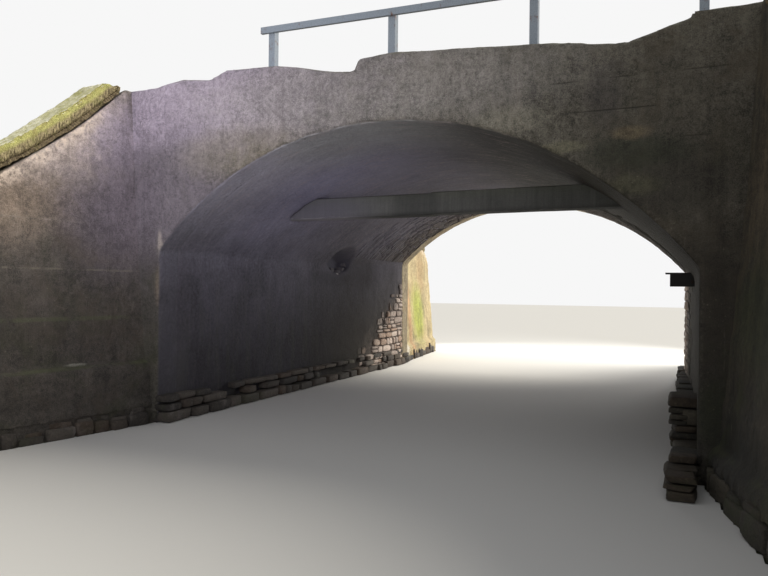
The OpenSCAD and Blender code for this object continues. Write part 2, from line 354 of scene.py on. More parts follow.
class Finish:
    """A material in the making, with the patterns that the finishes share."""

    def __init__(self, name):
        self.material = bpy.data.materials.new(name)
        self.material.use_nodes = True
        self.tree = self.material.node_tree
        self.shader = self.tree.nodes["Principled BSDF"]
        self.place = self.node("ShaderNodeTexCoord", output="Object")
        self.x, self.y, self.z = (self.node("ShaderNodeSeparateXYZ", inputs={0: self.place}, output=axis)
                                  for axis in "XYZ")

    def node(self, kind, settings=None, inputs=None, output=0):
        """Adds a node with its settings, then the values or links of its sockets."""
        made = self.tree.nodes.new(kind)
        for name, value in (settings or {}).items():
            setattr(made, name, value)
        for key, value in (inputs or {}).items():
            if isinstance(value, Value):
                self.tree.links.new(value.socket, made.inputs[key])
            else:
                made.inputs[key].default_value = value
        return Value(self, made.outputs[output])

    def noise(self, scale, detail, roughness, distortion=0.0, vector=None):
        inputs = {"Vector": vector or self.place, "Scale": scale, "Detail": detail, "Roughness": roughness,
                  "Distortion": distortion}
        return self.node("ShaderNodeTexNoise", None, inputs)

    def streaks(self, scale, detail, roughness, distortion=0.0):
        """Noise with a scale of its own along each axis."""
        place = self.node("ShaderNodeVectorMath", {"operation": "MULTIPLY"}, {0: self.place, 1: scale})
        return self.noise(1.0, detail, roughness, distortion, place)

    def cells(self, scale, feature="F1", output="Distance"):
        inputs = {"Vector": self.place, "Scale": scale}
        return self.node("ShaderNodeTexVoronoi", {"feature": feature}, inputs, output)

    def attribute(self, name):
        return self.node("ShaderNodeAttribute", {"attribute_name": name}, output="Fac")

    def facing_up(self):
        """How far the surface looks up, from -1 to 1."""
        normal = self.node("ShaderNodeNewGeometry", output="Normal")
        return self.node("ShaderNodeSeparateXYZ", inputs={0: normal}, output="Z")

    def spot(self, centre, reach):
        """1 in the middle of an oval patch, fading to 0 over its ragged rim."""
        rim = 0.5
        away = self.node("ShaderNodeVectorMath", {"operation": "SUBTRACT"}, {0: self.place, 1: centre})
        scale = tuple(1 / r for r in reach)
        away = self.node("ShaderNodeVectorMath", {"operation": "MULTIPLY"}, {0: away, 1: scale})
        length = self.node("ShaderNodeVectorMath", {"operation": "LENGTH"}, {0: away}, output="Value")
        ragged = length + (self.noise(7.0, 4.0, 0.7) - 0.5) * 0.9
        return 1 - ragged.between(1 - rim, 1 + rim)

    def lining_tone_and_painted_light(self, around):
        """Colour of the damp lining, streaked along the distance round the opening, with painted light and
        shade laid into it.
        """
        place = self.node("ShaderNodeCombineXYZ", inputs={0: self.y * 7.0, 1: around * 0.8, 2: 0.0})
        fine_place = self.node("ShaderNodeCombineXYZ", inputs={0: self.y * 16.0, 1: around * 2.2, 2: 3.0})
        across, inward, upward = self.x.between, self.y.between, self.z.between
        streak = self.noise(1.0, 6.0, 0.7, 0.15, vector=place)
        fine_streak = self.noise(1.0, 5.0, 0.74, 0.2, vector=fine_place)
        cloud = self.noise(1.7, 6.0, 0.68, 0.3)
        grain = self.noise(26.0, 5.0, 0.76)
        share = (cloud - 0.5) * 1.4 + (streak - 0.5) * 0.5 + (fine_streak - 0.5) * 0.6 + (grain - 0.5) * 1.6
        # Painted light and shade across the barrel: paler and violet-grey to the left, browner and darker to
        # the right.
        rightward = across(-1.8, 1.4)
        dark = self.mix(rightward, (51, 49, 56), (38, 36, 30))
        light = self.mix(rightward, (107, 104, 117), (88, 85, 73))
        shade = self.mix(share + 0.5, dark, light)
        # Painted light and shade on the vault, laid on up high: much paler to the left, palest near the face
        # and at the crown, darker deeper in and to the right.
        over = self.mix(rightward, (192, 188, 220), (96, 91, 78))
        over = self.mix(inward(-2.2, 0.4) * (1 - rightward) * 0.75, over, (110, 104, 102))
        over = self.mix((1 - inward(-3.3, -2.0)) * (1 - rightward) * 0.6, over, (224, 220, 230))
        crown = (1 - inward(-3.3, -1.8)) * (1 - across(0.3, 1.0)) * across(-1.6, -0.9)
        over = self.mix(crown * 0.7, over, (196, 198, 198))
        deep = self.mix(inward(-1.6, 0.2), (82, 80, 81), (44, 43, 38))
        deep = self.mix(across(1.6, 2.1), deep, (50, 49, 43))
        over = self.mix(across(-0.3, 1.2) * 0.85, over, deep)
        high = upward(1.6, 3.1)
        shade = self.mix(high * (0.6 + share * 0.3), shade, over)
        flecks = high * fine_streak.between(0.5, 0.64) * grain.between(0.4, 0.6)
        shade = self.mix(flecks * 0.5, shade, (168, 150, 146))
        # The right haunch darker and browner: its brown-green tone and painted shade.
        haunch = across(1.0, 2.0) * upward(1.5, 2.0)
        shade = self.mix(haunch * (0.4 + fine_streak * 0.8), shade, (36, 32, 19))
        strokes = across(1.1, 1.6) * fine_streak.between(0.52, 0.66) * grain.between(0.44, 0.56)
        shade = self.mix(strokes * 0.4, shade, (128, 114, 104))
        # Painted shade: darker low on the left wall.
        low = 1 - upward(0.4, 2.2)
        shade = self.mix(low * (1 - rightward) * 0.68, shade, (26, 25, 26))
        # Painted shade: the right wall darker and browner, from the near end to past the middle.
        shade = self.mix(across(2.2, 2.6) * (1 - inward(0.9, 2.5)) * 0.85, shade, (34, 28, 16))
        shade = self.mix(low * streak.between(0.45, 0.62) * 0.25, shade, (66, 68, 50))
        flecks = low * fine_streak.between(0.5, 0.66) * grain.between(0.42, 0.6)
        shade = self.mix(flecks * 0.25, shade, (92, 86, 80))
        # Painted light at the near end of the left wall, and painted shade over its far part.
        left_wall = (1 - upward(1.9, 2.4)) * (1 - rightward)
        shade = self.mix((1 - inward(-3.2, -2.8)) * left_wall * 0.14, shade, (108, 103, 112))
        return self.mix(inward(-1.4, 1.2) * left_wall * (0.3 + low * 0.5), shade, (36, 32, 25))

    def under_lining_and_painted_shade(self, cloud, lean, start, stop):
        """How far the damp lining of the near barrel runs on over the far one, further where it is high;
        over the far stones it also stands for painted shade, its lean on the left following the edge of the
        shade.
        """
        at_left = 1 - self.x.between(-0.2, 0.2)
        end = self.y - (self.z - LEAN_LEVEL) * at_left * lean + (cloud - 0.5) * 1.6
        return (1 - end.between(start, stop)) * 0.95

    def mix(self, share, first, second):
        """The first colour where share is 0 and the second where it is 1, as values or as 0 to 255."""
        first, second = (c if isinstance(c, Value) else colour(*c) for c in (first, second))
        return self.node("ShaderNodeMix", {"data_type": "RGBA"}, {0: share, 6: first, 7: second}, output=2)

    def coat(self, share, tint):
        """Lays a colour over the base as far as share says."""
        self.base = self.mix(share, self.base, tint)

    def done(self, roughness, *reliefs, specular=0.5):
        """Sends what varies to the shader, with the reliefs, as (height, depth), from broad to fine."""
        normal = None
        for height, depth in reliefs:
            inputs = {"Height": height, "Distance": depth}
            if normal:
                inputs["Normal"] = normal
            normal = self.node("ShaderNodeBump", {}, inputs)
        for socket, value in (("Base Color", self.base), ("Roughness", roughness), ("Normal", normal)):
            self.tree.links.new(value.socket, self.shader.inputs[socket])
        self.shader.inputs["Specular IOR Level"].default_value = specular
        return self.material


def facing_finish(name, light, dark, warm, streak, drip, moss, lichen, foot_darkening, patches=(), bands=()):
    """Weathered plain facing: mottled, streaked down, with limy drips, lichen spots and moss."""
    f = Finish(name)
    broad = f.noise(0.6, 4.0, 0.55, 0.4)
    cloud = f.noise(3.0, 6.0, 0.7, 0.2)
    mottle = f.noise(10.0, 5.0, 0.72, 0.4)
    grain = f.noise(24.0, 6.0, 0.78)
    grit = f.noise(105.0, 3.0, 0.6)
    run = f.streaks((9.0, 9.0, 0.7), 6.0, 0.7)
    thin_run = f.streaks((38.0, 38.0, 2.0), 4.0, 0.7)
    share = (broad - 0.5) * 1.0 + (cloud - 0.5) * 0.9 + (mottle - 0.5) * 1.2 + (grain - 0.5) * 2.1
    share = share + (grit - 0.5) * 2.0 + (run - 0.5) * streak + 0.5
    f.base = f.mix(share, dark, light)
    f.coat(f.noise(1.5, 5.0, 0.7, 0.6).between(0.46, 0.64) * 0.5, warm)
    for centre, reach, strength, tint in patches:
        mottled = f.mix(share, toned(tint, 0.8), toned(tint, 1.18))
        f.coat(f.spot(centre, reach) * strength * (0.7 + grain * 0.6), mottled)
    # Darker towards the foot.
    f.coat((1 - (f.z + (cloud - 0.5) * 1.2).between(0.1, 2.5)) * foot_darkening, (36, 33, 30))
    green = f.noise(1.7, 6.0, 0.75, 0.6)
    damp = 1 - f.z.between(0.2, 2.4) * 0.75
    f.coat(green.between(0.48, 0.66) * damp * moss, (56, 60, 34))
    for level, half, strength, tint in bands:
        line = 1 - (f.z - level + (grain - 0.5) * 0.03).absolute().between(half * 0.4, half)
        f.coat(line * cloud.between(0.4, 0.56) * strength, tint)
    drips = thin_run.between(0.6, 0.72) * cloud.between(0.46, 0.62)
    f.coat(drips * drip, (150, 144, 130))
    speck = (1 - f.cells(30.0).between(0.12, 0.26)) * cloud.between(0.5, 0.66) * grain.between(0.46, 0.6)
    f.coat(speck * lichen, (160, 156, 132))
    f.coat(f.attribute("seam") * (0.1 + grain * 0.9), (32, 29, 26))
    worn = f.attribute("worn") * grain.between(0.44, 0.62) * cloud.between(0.42, 0.6)
    f.coat(worn * 0.4, toned(light, 1.35))
    crumbled = f.attribute("crumbled") * cloud.between(0.3, 0.55) * grain.between(0.35, 0.55)
    f.coat(crumbled * 0.85, (216, 198, 180))
    upward = f.facing_up().between(0.5, 0.95)
    f.coat(upward * green.between(0.4, 0.52) * 0.5, (84, 88, 58))
    # The reveal of the opening takes the lining's tone, with its painted light and shade.
    f.coat(f.attribute("inside"), f.lining_tone_and_painted_light(f.attribute("around")))
    pits = f.cells(42.0).between(0.0, 0.34)
    return f.done(0.8 + grain * 0.18, (cloud * 0.4 + mottle * 0.4 + run * 0.2, 0.03),
                  (grain * 0.8 + pits * 0.2, 0.018), (grit, 0.003))


def lining_finish(name, mortar, patches):
    """Dark damp lining of the barrel, streaked round it and painted with light and shade, which gives way to
    mortar in the far part.
    """
    f = Finish(name)
    cloud = f.noise(2.6, 6.0, 0.7, 0.3)
    grain = f.noise(30.0, 6.0, 0.76)
    bed = f.mix(grain.between(0.36, 0.66), toned(mortar, 0.6), mortar)
    lined = f.under_lining_and_painted_shade(cloud, *LINING_RUN) * (1 - f.attribute("behind"))
    f.base = f.mix(lined, bed, f.lining_tone_and_painted_light(f.attribute("around")))
    for centre, reach, strength, tint in patches:
        f.coat(f.spot(centre, reach) * strength, tint)
    return f.done(0.7 + grain * 0.25, (cloud, 0.02), (grain, 0.012), specular=0.25)


def stone_finish(name, tints, mortar, moss, pale, lined=None):
    """Rubble: each stone has its own tone, dark at the rim with mortar colour and painted shade, with grain,
    lime bloom and damp stains.
    """
    f = Finish(name)
    tone, second_tone, rim = (f.attribute(trait) for trait in ("tone", "second_tone", "rim"))
    cloud = f.noise(4.0, 5.0, 0.66, 0.3)
    grain = f.noise(38.0, 5.0, 0.74)
    bands = f.streaks((16.0, 16.0, 60.0), 4.0, 0.6, 0.5)
    grit = f.noise(170.0, 3.0, 0.6)
    f.base = f.mix(tone, tints[0], tints[1])
    f.coat(second_tone.between(0.55, 0.9), tints[2])
    f.coat(bands.between(0.5, 0.7) * 0.35, toned(tints[0], 0.62))
    f.coat(grain.between(0.5, 0.78) * 0.5, toned(tints[1], 1.4))
    f.coat(grain.between(0.5, 0.26) * 0.6, toned(tints[0], 0.4))
    f.coat(cloud.between(0.56, 0.74) * pale, (150, 142, 138))
    green = f.noise(1.3, 6.0, 0.75, 0.5)
    damp = 1 - f.z.between(0.2, 1.9) * 0.8
    f.coat(green.between(0.5, 0.66) * damp * moss, (56, 62, 36))
    # Mortar colour at the rim of each stone, which also paints the shade in the joints.
    f.coat(rim * (0.1 + cloud * 0.5), mortar)
    if lined:
        # Where lined, the lining's tone lies over the stones: the lining itself, and painted shade where the
        # stones are in the dark.
        f.coat(f.under_lining_and_painted_shade(cloud, *lined), f.lining_tone_and_painted_light(f.x + f.z))
    return f.done(0.74 + grain * 0.24, (bands * 0.4 + cloud * 0.6, 0.012), (grain, 0.009), (grit, 0.002))


def fill_finish(name, tint):
    """Packed fill: lumpy earth and lime, darker where it is damp."""
    f = Finish(name)
    cloud = f.noise(3.0, 5.0, 0.7)
    grain = f.noise(48.0, 5.0, 0.75)
    f.base = f.mix(cloud.between(0.36, 0.66), toned(tint, 0.6), tint)
    f.coat(grain.between(0.55, 0.75) * 0.5, toned(tint, 1.6))
    return f.done(0.82 + grain * 0.15, (cloud, 0.02), (grain, 0.012))


def moss_finish(name):
    """Thick moss: pale on top, where light is painted on the faces that look up, with a bright crust along
    the edge, brown and stringy where it hangs.
    """
    f = Finish(name)
    tuft = f.cells(52.0, "SMOOTH_F1")
    clump = f.noise(8.0, 5.0, 0.7, 0.4)
    fibre = f.streaks((80.0, 80.0, 14.0), 5.0, 0.78, 0.3)
    fine = f.noise(210.0, 3.0, 0.7)
    height = f.attribute("height") + (clump - 0.5) * 0.35
    top = f.mix(clump.between(0.36, 0.62), (206, 200, 150), (252, 248, 224))
    top = f.mix(tuft.between(0.0, 0.45) * 0.2, top, (140, 142, 74))
    crust = f.mix(fine.between(0.4, 0.62), (124, 126, 58), (228, 222, 142))
    crust = f.mix(clump.between(0.5, 0.66) * 0.6, crust, (150, 136, 84))
    fringe = f.mix(fibre.between(0.38, 0.64), (78, 66, 42), (192, 176, 132))
    fringe = f.mix(clump.between(0.5, 0.68) * 0.55, fringe, (126, 128, 62))
    fringe = f.mix((1 - height.between(0.0, 0.3)) * 0.7, fringe, (104, 88, 66))
    f.base = f.mix(height.between(0.68, 0.98), fringe, crust)
    # Faces that look up take the pale top colour: painted light from above.
    f.coat(f.facing_up().between(0.45, 0.85) * height.between(0.5, 0.85), top)
    f.coat(fine.between(0.56, 0.8) * 0.35, (206, 200, 128))
    return f.done(0.86 + fine * 0.12, (clump + tuft * 0.5, 0.025), (fibre * 0.7 + fine * 0.3, 0.016))


def timber_finish(name):
    """Old sodden timber: grey-green, with runs down its side and the grain along it only in relief; its left
    part is painted a pale violet grey with a lighter underside, as painted haze and light.
    """
    f = Finish(name)
    grain = f.streaks((3.0, 50.0, 50.0), 5.0, 0.7, 0.4)
    run = f.streaks((17.0, 17.0, 0.9), 5.0, 0.72)
    thin_run = f.streaks((60.0, 60.0, 3.0), 4.0, 0.72)
    cloud = f.noise(2.2, 5.0, 0.66)
    fine = f.noise(90.0, 4.0, 0.7)
    splice = f.x.between(-0.05, -0.2) * f.x.between(-0.8, -0.6)
    share = (run - 0.5) * 1.0 + (thin_run - 0.5) * 0.5 + (cloud - 0.5) * 1.0 + (fine - 0.5) * 0.8
    f.base = f.mix(share + 0.5, (64, 65, 62), (104, 104, 101))
    # Painted haze and light: the left part of the beam turns a pale violet grey, like the vault around it.
    damp = f.mix(share + 0.5, (80, 78, 86), (96, 94, 102))
    f.coat((1 - f.x.between(-1.6, -0.6)) * 0.95, damp)
    f.coat(f.z.between(2.52, 2.66) * 0.2, (80, 86, 62))
    f.coat(f.z.between(2.46, 2.4) * f.x.between(-1.6, -0.6) * 0.5, (40, 40, 38))
    # Painted light: the underside of the left part lighter than its shade.
    under = f.facing_up().between(-0.3, -0.8) * (1 - f.x.between(-1.6, -0.8))
    f.coat(under * 0.8, (150, 146, 154))
    f.coat(splice * 0.4, (36, 38, 38))
    return f.done(0.7 + cloud * 0.25, (grain, 0.006), (fine, 0.003))


def iron_finish(name, metal, rusty, share):
    """Metal under old black or grey coating, with rust breaking through."""
    f = Finish(name)
    cloud = f.noise(9.0, 5.0, 0.7, 0.3)
    fine = f.noise(90.0, 4.0, 0.7)
    run = f.streaks((40.0, 40.0, 5.0), 4.0, 0.7)
    worn = (cloud * 0.7 + run * 0.3).between(0.62 - share * 0.3, 0.72 - share * 0.2)
    f.base = f.mix(fine.between(0.3, 0.7), toned(metal, 0.86), metal)
    f.coat(worn, rusty)
    f.coat(worn * fine.between(0.5, 0.7), toned(rusty, 0.6))
    return f.done(0.42 + worn * 0.4 + fine * 0.12, (fine * worn + cloud * 0.3, 0.0015))


def gravel_finish(name):
    """Road surface: trodden gravel and dirt."""
    f = Finish(name)
    stones = f.cells(42.0)
    pick = f.node("ShaderNodeSeparateXYZ", inputs={0: f.cells(42.0, output="Color")}, output="X")
    cloud = f.noise(1.4, 5.0, 0.65, 0.3)
    fine = f.noise(120.0, 4.0, 0.7)
    f.base = f.mix(pick, (96, 86, 74), (138, 130, 118))
    f.coat(stones.between(0.35, 0.6), (72, 60, 46))
    f.coat(cloud.between(0.5, 0.68) * 0.5, (84, 70, 50))
    f.coat(fine.between(0.55, 0.75) * 0.3, (158, 150, 138))
    return f.done(0.85 + fine * 0.12, (1 - stones, 0.012), (fine, 0.003))


# Patches seen on the near face and elsewhere: where, how far they reach, how strong and what colour
FACE_PATCHES = (
    # Painted glare: a pale violet haze over the upper left of the face.
    ((-2.6, NEAR_Y, 3.53), (2.2, 0.6, 0.6), 0.85, (164, 153, 168)),
    ((-2.95, NEAR_Y, 3.2), (0.5, 0.5, 0.45), 0.4, (168, 156, 172)),
    ((-0.2, NEAR_Y, 3.4), (1.8, 0.6, 0.4), 0.6, (148, 143, 140)),
    # Painted haze: a violet grey over the left of the face, by the jamb and the wing.
    ((-2.4, NEAR_Y, 2.45), (0.75, 0.5, 0.7), 0.85, (108, 101, 110)),
    ((-2.98, NEAR_Y, 2.3), (0.3, 0.5, 0.7), 0.8, (110, 102, 111)),
    ((-2.9, NEAR_Y, 1.4), (0.4, 0.5, 0.7), 0.5, (62, 58, 60)),
    # Painted shade: the right part of the face darker.
    ((2.5, NEAR_Y, 2.2), (0.9, 0.6, 1.4), 0.5, (62, 57, 48)),
    ((2.45, NEAR_Y, 2.36), (0.5, 0.5, 0.26), 0.55, (40, 37, 32)),
    ((2.2, NEAR_Y, 2.62), (0.4, 0.4, 0.13), 0.6, (44, 48, 36)),
    ((2.18, NEAR_Y, 2.78), (0.14, 0.3, 0.05), 0.5, (118, 104, 80)),
    ((-1.66, NEAR_Y, 2.9), (0.7, 0.4, 0.25), 0.4, (140, 132, 116)),
    ((1.98, NEAR_Y, 3.10), (0.15, 0.4, 0.2), 0.35, (46, 42, 50)),
    ((1.63, NEAR_Y, 2.70), (0.18, 0.4, 0.05), 0.35, (134, 130, 104)),
    ((2.2, NEAR_Y, 2.36), (0.2, 0.4, 0.08), 0.2, (112, 112, 82)),
    ((1.2, NEAR_Y, 2.98), (0.3, 0.4, 0.1), 0.4, (140, 136, 122)),
    ((-2.68, NEAR_Y, 1.97), (0.03, 0.3, 0.13), 0.5, (172, 162, 154)),
    ((-2.69, -3.5, 1.5), (0.05, 0.3, 0.2), 0.3, (150, 132, 116)),
    ((2.85, NEAR_Y, 1.0), (0.4, 0.4, 1.0), 0.7, (42, 36, 29)),
    ((2.8, -3.6, 0.55), (0.16, 0.3, 0.25), 0.5, (48, 56, 32)),
)
LEFT_WING_PATCHES = (
    ((-3.25, -5.6, 2.35), (0.7, 1.2, 0.5), 0.55, (158, 138, 120)),
    # Painted glare and haze: the upper wing pale and violet by the face, falling to darker lower down.
    ((-3.0, -4.3, 3.05), (0.6, 1.1, 0.5), 0.9, (178, 164, 158)),
    ((-2.95, -3.75, 3.1), (0.3, 0.45, 0.5), 0.8, (146, 136, 150)),
    ((-2.9, -3.8, 2.3), (0.4, 0.75, 0.7), 0.85, (110, 101, 110)),
    ((-3.1, -4.6, 1.4), (0.8, 1.6, 0.6), 0.4, (66, 61, 58)),
    ((-3.3, -5.9, 1.2), (0.7, 1.3, 0.5), 0.5, (58, 53, 49)),
    ((-3.01, -4.35, 0.7), (0.07, 0.1, 0.014), 0.9, (196, 192, 180)),
)
# Stained lines along the left wing: level, half height, how strong and what colour
LEFT_WING_BANDS = (
    (0.675, 0.012, 0.4, (96, 98, 76)),
    (1.165, 0.028, 0.4, (86, 92, 64)),
    (1.665, 0.014, 0.35, (136, 128, 114)),
    (2.155, 0.012, 0.16, (148, 142, 134)),
)
RIGHT_WING_PATCHES = (
    ((2.95, -4.1, 1.35), (0.5, 0.5, 0.35), 0.5, (54, 62, 32)),
    ((3.0, -4.4, 2.3), (0.5, 0.9, 0.6), 0.35, (92, 76, 54)),
    ((2.95, -3.9, 0.3), (0.5, 0.7, 0.3), 0.7, (30, 31, 24)),
)
FAR_WING_PATCHES = (
    ((-2.9, 5.1, 0.95), (0.4, 0.5, 0.6), 0.75, (150, 162, 58)),
    ((-2.75, 4.35, 1.2), (0.2, 0.16, 1.3), 0.6, (178, 128, 92)),
    ((-2.7, 3.85, 1.3), (0.2, 0.14, 1.4), 0.7, (238, 228, 214)),
    ((-2.9, 5.6, 2.0), (0.4, 0.4, 0.6), 0.5, (160, 128, 88)),
)
HOLE_PATCHES = (
    ((-2.68, 1.4, 1.78), (0.2, 0.6, 0.3), 0.5, (46, 42, 43)),
    ((-2.68, 0.4, 1.66), (0.12, 0.5, 0.12), 0.4, (42, 40, 44)),
    # Painted light: the inside of the hole lighter than its shade leaves it.
    ((-2.8, 0.68, 1.97), (0.28, 0.42, 0.24), 0.85, (80, 78, 88)),
    ((-2.52, 0.95, 2.24), (0.12, 0.2, 0.05), 0.5, (128, 120, 118)),
    ((-2.68, 0.66, 1.745), (0.05, 0.04, 0.02), 0.8, (190, 184, 178)),
)

# How the damp lining, which also paints the shade over the far stones, runs on over the far walls and the
# far vault:
# how much further in for each metre over a level on the left, and where it starts and ends giving way, past
# mid-barrel
LEAN_LEVEL = 0.7
LINING_RUN = (1.3, 1.7, 2.6)
VAULT_LINING_RUN = (0.0, 1.2, 3.4)

FACING = facing_finish("plain_facing", (122, 117, 106), (52, 49, 43), (92, 82, 68),
                       streak=1.0, drip=0.2, moss=0.4, lichen=0.25, foot_darkening=0.45, patches=FACE_PATCHES)
LEFT_FACING = facing_finish("left_facing", (126, 117, 109), (60, 56, 52), (108, 94, 80),
                            streak=0.9, drip=0.2, moss=0.4, lichen=0.3, foot_darkening=0.6,
                            patches=LEFT_WING_PATCHES, bands=LEFT_WING_BANDS)
# Darker than the left facing, as painted shade of the right side, and more streaked.
RIGHT_FACING = facing_finish("streaked_shaded_facing", (94, 87, 72), (40, 37, 31), (82, 70, 52),
                             streak=1.9, drip=0.3, moss=0.6, lichen=0.2, foot_darkening=0.5,
                             patches=RIGHT_WING_PATCHES)
FAR_FACING = facing_finish("far_facing", (188, 174, 146), (112, 100, 80), (150, 128, 96),
                           streak=1.4, drip=0.5, moss=0.6, lichen=0.3, foot_darkening=0.3)
FAR_WING_FACING = facing_finish("far_wing_facing", (214, 196, 152), (142, 126, 92), (176, 150, 104),
                                streak=1.4, drip=0.5, moss=0.5, lichen=0.2, foot_darkening=0.1,
                                patches=FAR_WING_PATCHES)
LINING = lining_finish("barrel_lining", (112, 101, 94), HOLE_PATCHES)
RUBBLE = stone_finish("rubble_stones", ((140, 125, 117), (204, 186, 174), (164, 138, 120)), (62, 54, 50),
                      moss=0.3, pale=0.4, lined=LINING_RUN)
VAULT_RUBBLE = stone_finish("vault_stones", ((70, 65, 62), (108, 100, 95), (96, 84, 76)), (50, 46, 44),
                            moss=0.1, pale=0.2, lined=VAULT_LINING_RUN)
FOOTING = stone_finish("footing_stones", ((48, 44, 41), (88, 81, 74), (76, 64, 54)), (24, 21, 19),
                       moss=0.35, pale=0.25)
# A darker copy of the footing stone for the right side: painted shade.
DARK_FOOTING = stone_finish("dark_footing_stones", ((40, 37, 32), (78, 72, 61), (62, 52, 41)), (20, 18, 15),
                            moss=0.5, pale=0.2)
BACKING = stone_finish("backing_stones", ((92, 84, 74), (128, 118, 104), (118, 96, 72)), (60, 52, 44),
                       moss=0.3, pale=0.2)
EARTH = fill_finish("packed_fill", (92, 76, 58))
MOSS = moss_finish("thick_moss")
TIMBER = timber_finish("wet_timber")
STUB_IRON = iron_finish("black_iron", (20, 19, 19), (58, 38, 26), 0.3)
RAIL_PAINT = iron_finish("railing_paint", (150, 160, 172), (112, 68, 40), 0.25)
GRAVEL = gravel_finish("gravel")


# Faces, wings, plinths and the lining of the barrel


def pushed_in(points, normals, depth):
    """Points moved back from the surface by these depths."""
    return points - normals * np.maximum(depth, 0)[:, None]


# Sizes of the small even faces, which keep each piece under the limit on triangles
NEAR_FACE_VOXEL = 0.028
NEAR_WING_VOXEL = 0.03
FAR_VOXEL = 0.038
LINING_VOXEL = 0.047
MOSS_VOXEL = 0.024
BEAM_VOXEL = 0.02
# How deep the marks of wear go on a facing: lift lines, hollows and the crumbled edges of broken tops
SEAM_DEPTH = 0.006
HOLLOW_DEPTH = 0.009
CRUMBLE_DEPTH = 0.03
# Half the height of a lift line, and how far in from its ends it opens
SEAM_HALF = 0.004
SEAM_FADE = 0.08


def weathered(name, parts, material, voxel, amount=0.01, wear=0.02, lines=(), traits=None, slot="facing"):
    """Stands for fused CAD nodes: the same form with worn arrises, hollows and the lift lines that show."""
    mesh = voxel_copy(parts, voxel)
    for level in sorted({line[0] for line in lines}):
        cut_across(mesh, [level + shift for shift in (-2 * SEAM_HALF, 0, 2 * SEAM_HALF)])
    points = read_points(mesh)
    normals = vertex_normals(mesh)
    low, high = points.min(axis=0), points.max(axis=0)
    given = traits(points, normals) if traits else {}
    worn = sharpness(mesh) * (1 - given.pop("kept", 0))
    seam = np.zeros(len(points))
    for level, start, end in lines:
        middle, half = (start + end) / 2, (end - start) / 2
        along = ramp(np.abs(points[:, 0] - middle), half, half - SEAM_FADE)
        open_at = ramp(np.abs(points[:, 2] - level), 2 * SEAM_HALF, 0.3 * SEAM_HALF)
        seam = np.maximum(seam, along * open_at)
    depth = amount * (0.6 + 0.9 * rough(points, 0.42, 4, 3)) + 0.0035 * rough(points, 0.07, 2, 11)
    depth += SEAM_DEPTH * seam
    depth += wear * worn * (0.2 + ramp(rough(points, 0.16, 3, 21), -0.2, 0.6))
    depth += HOLLOW_DEPTH * ramp(rough(points, 0.5, 3, 31), 0.42, 0.6)
    depth += given.pop("recess", 0)
    depth += CRUMBLE_DEPTH * given.get("crumbled", 0) * ramp(rough(points, 0.1, 3, 41), -0.1, 0.5)
    moved = pushed_in(points, normals, depth)
    moved[:, 2] = np.where(points[:, 2] < low[2] + 0.5 * voxel, points[:, 2], moved[:, 2])
    write_points(mesh, np.clip(moved, low, high))
    finished_piece(name, mesh, {"seam": seam, "worn": worn, **given}, material, slot, *parts)


# Lift lines that stand open on the near face: level, and where each starts and ends along it
FACE_LINES = ((3.24, 1.5, 1.8), (3.24, 2.0, 2.26), (3.24, 2.54, 2.92), (2.98, 1.68, 2.42),
              (2.72, 2.53, 2.8))


def face_parts(end):
    """The CAD nodes of one whole face, with how far each reaches into its neighbours."""
    reach = 0.07
    parts = {f"{end}_spandrel": ()}
    for side in ("left", "right"):
        inward = reach if side == "left" else -reach
        edge = -PARAPET_X if side == "left" else PARAPET_X
        parts[f"{end}_{side}_jamb"] = (shifted(2, LIFT_TOP, reach),)
        parts[f"{end}_{side}_end_block"] = (shifted(2, PARAPET_BASE, -reach), shifted(0, edge, inward))
    parts[f"{end}_parapet"] = (shifted(2, PARAPET_BASE, -reach),)
    return parts


def make_faces():
    def near_traits(points, normals):
        depth = ramp(points[:, 1] - NEAR_Y, 0.0, 0.04)
        kept = ramp(points[:, 1], NEAR_INNER - 0.07, NEAR_INNER - 0.03)
        return {"inside": inside_opening(points, normals) * depth, "kept": kept,
                "around": round_the_opening(points)}

    weathered("near_face", face_parts("near"), FACING, NEAR_FACE_VOXEL, wear=0.024, lines=FACE_LINES,
              traits=near_traits)
    weathered("far_face", face_parts("far"), FAR_FACING, FAR_VOXEL, wear=0.024)


def make_wing(side, end, material):
    """A wing and its plinth, which reach into the face and into each other, with a crumbled outer top."""
    reach, lift = 0.08, 0.058
    foot, outward, frontward = wing_axes(side, end)
    into_face = shifted(1, NEAR_Y if end < 0 else FAR_Y, -reach * end)

    def into_wing(points):
        touching = (points - foot) @ frontward < 0.02
        points -= np.outer(reach * touching, frontward)
        points[:, 2] += lift * touching * (points[:, 2] > 0.1)

    def wing_traits(points, normals):
        front = ramp(normals @ frontward, 0.2, 0.6)
        out = ramp((points - foot) @ outward, 0.25, 0.6)
        near_top = ramp(above_wing(points, side, end), -0.22, -0.04)
        step = ramp((points - foot) @ frontward, 0.04, 0.07) * ramp(points[:, 2], 0.3, 0.24)
        return {"crumbled": front * out * near_top, "recess": 0.06 * step}

    name = wing_name(side, end)
    parts = {name + "_wing": (into_face,), name + "_plinth": (into_wing, into_face)}
    voxel = NEAR_WING_VOXEL if end < 0 else FAR_VOXEL
    weathered(name + "_wing_face", parts, material, voxel, amount=0.014, traits=wing_traits)


def make_wings():
    for (side, end), material in zip(WINGS, (LEFT_FACING, RIGHT_FACING, FAR_WING_FACING, FAR_FACING)):
        make_wing(side, end, material)


def lower_springings(half):
    """A change that turns the ends of a vault down past the near springings, into the abutments."""
    overlap, tolerance = 0.02, 0.002

    def change(points):
        angle, radius = about_arch(points)
        for side in (-1, 1):
            at_end = np.abs(angle - arch_angle(half, side)) < tolerance
            turned = arch_angle(HALF_NEAR, side) + overlap * side
            points[at_end, 0] = ARCH_X + radius[at_end] * np.sin(turned)
            points[at_end, 2] = ARCH_Z + radius[at_end] * np.cos(turned)
    return change


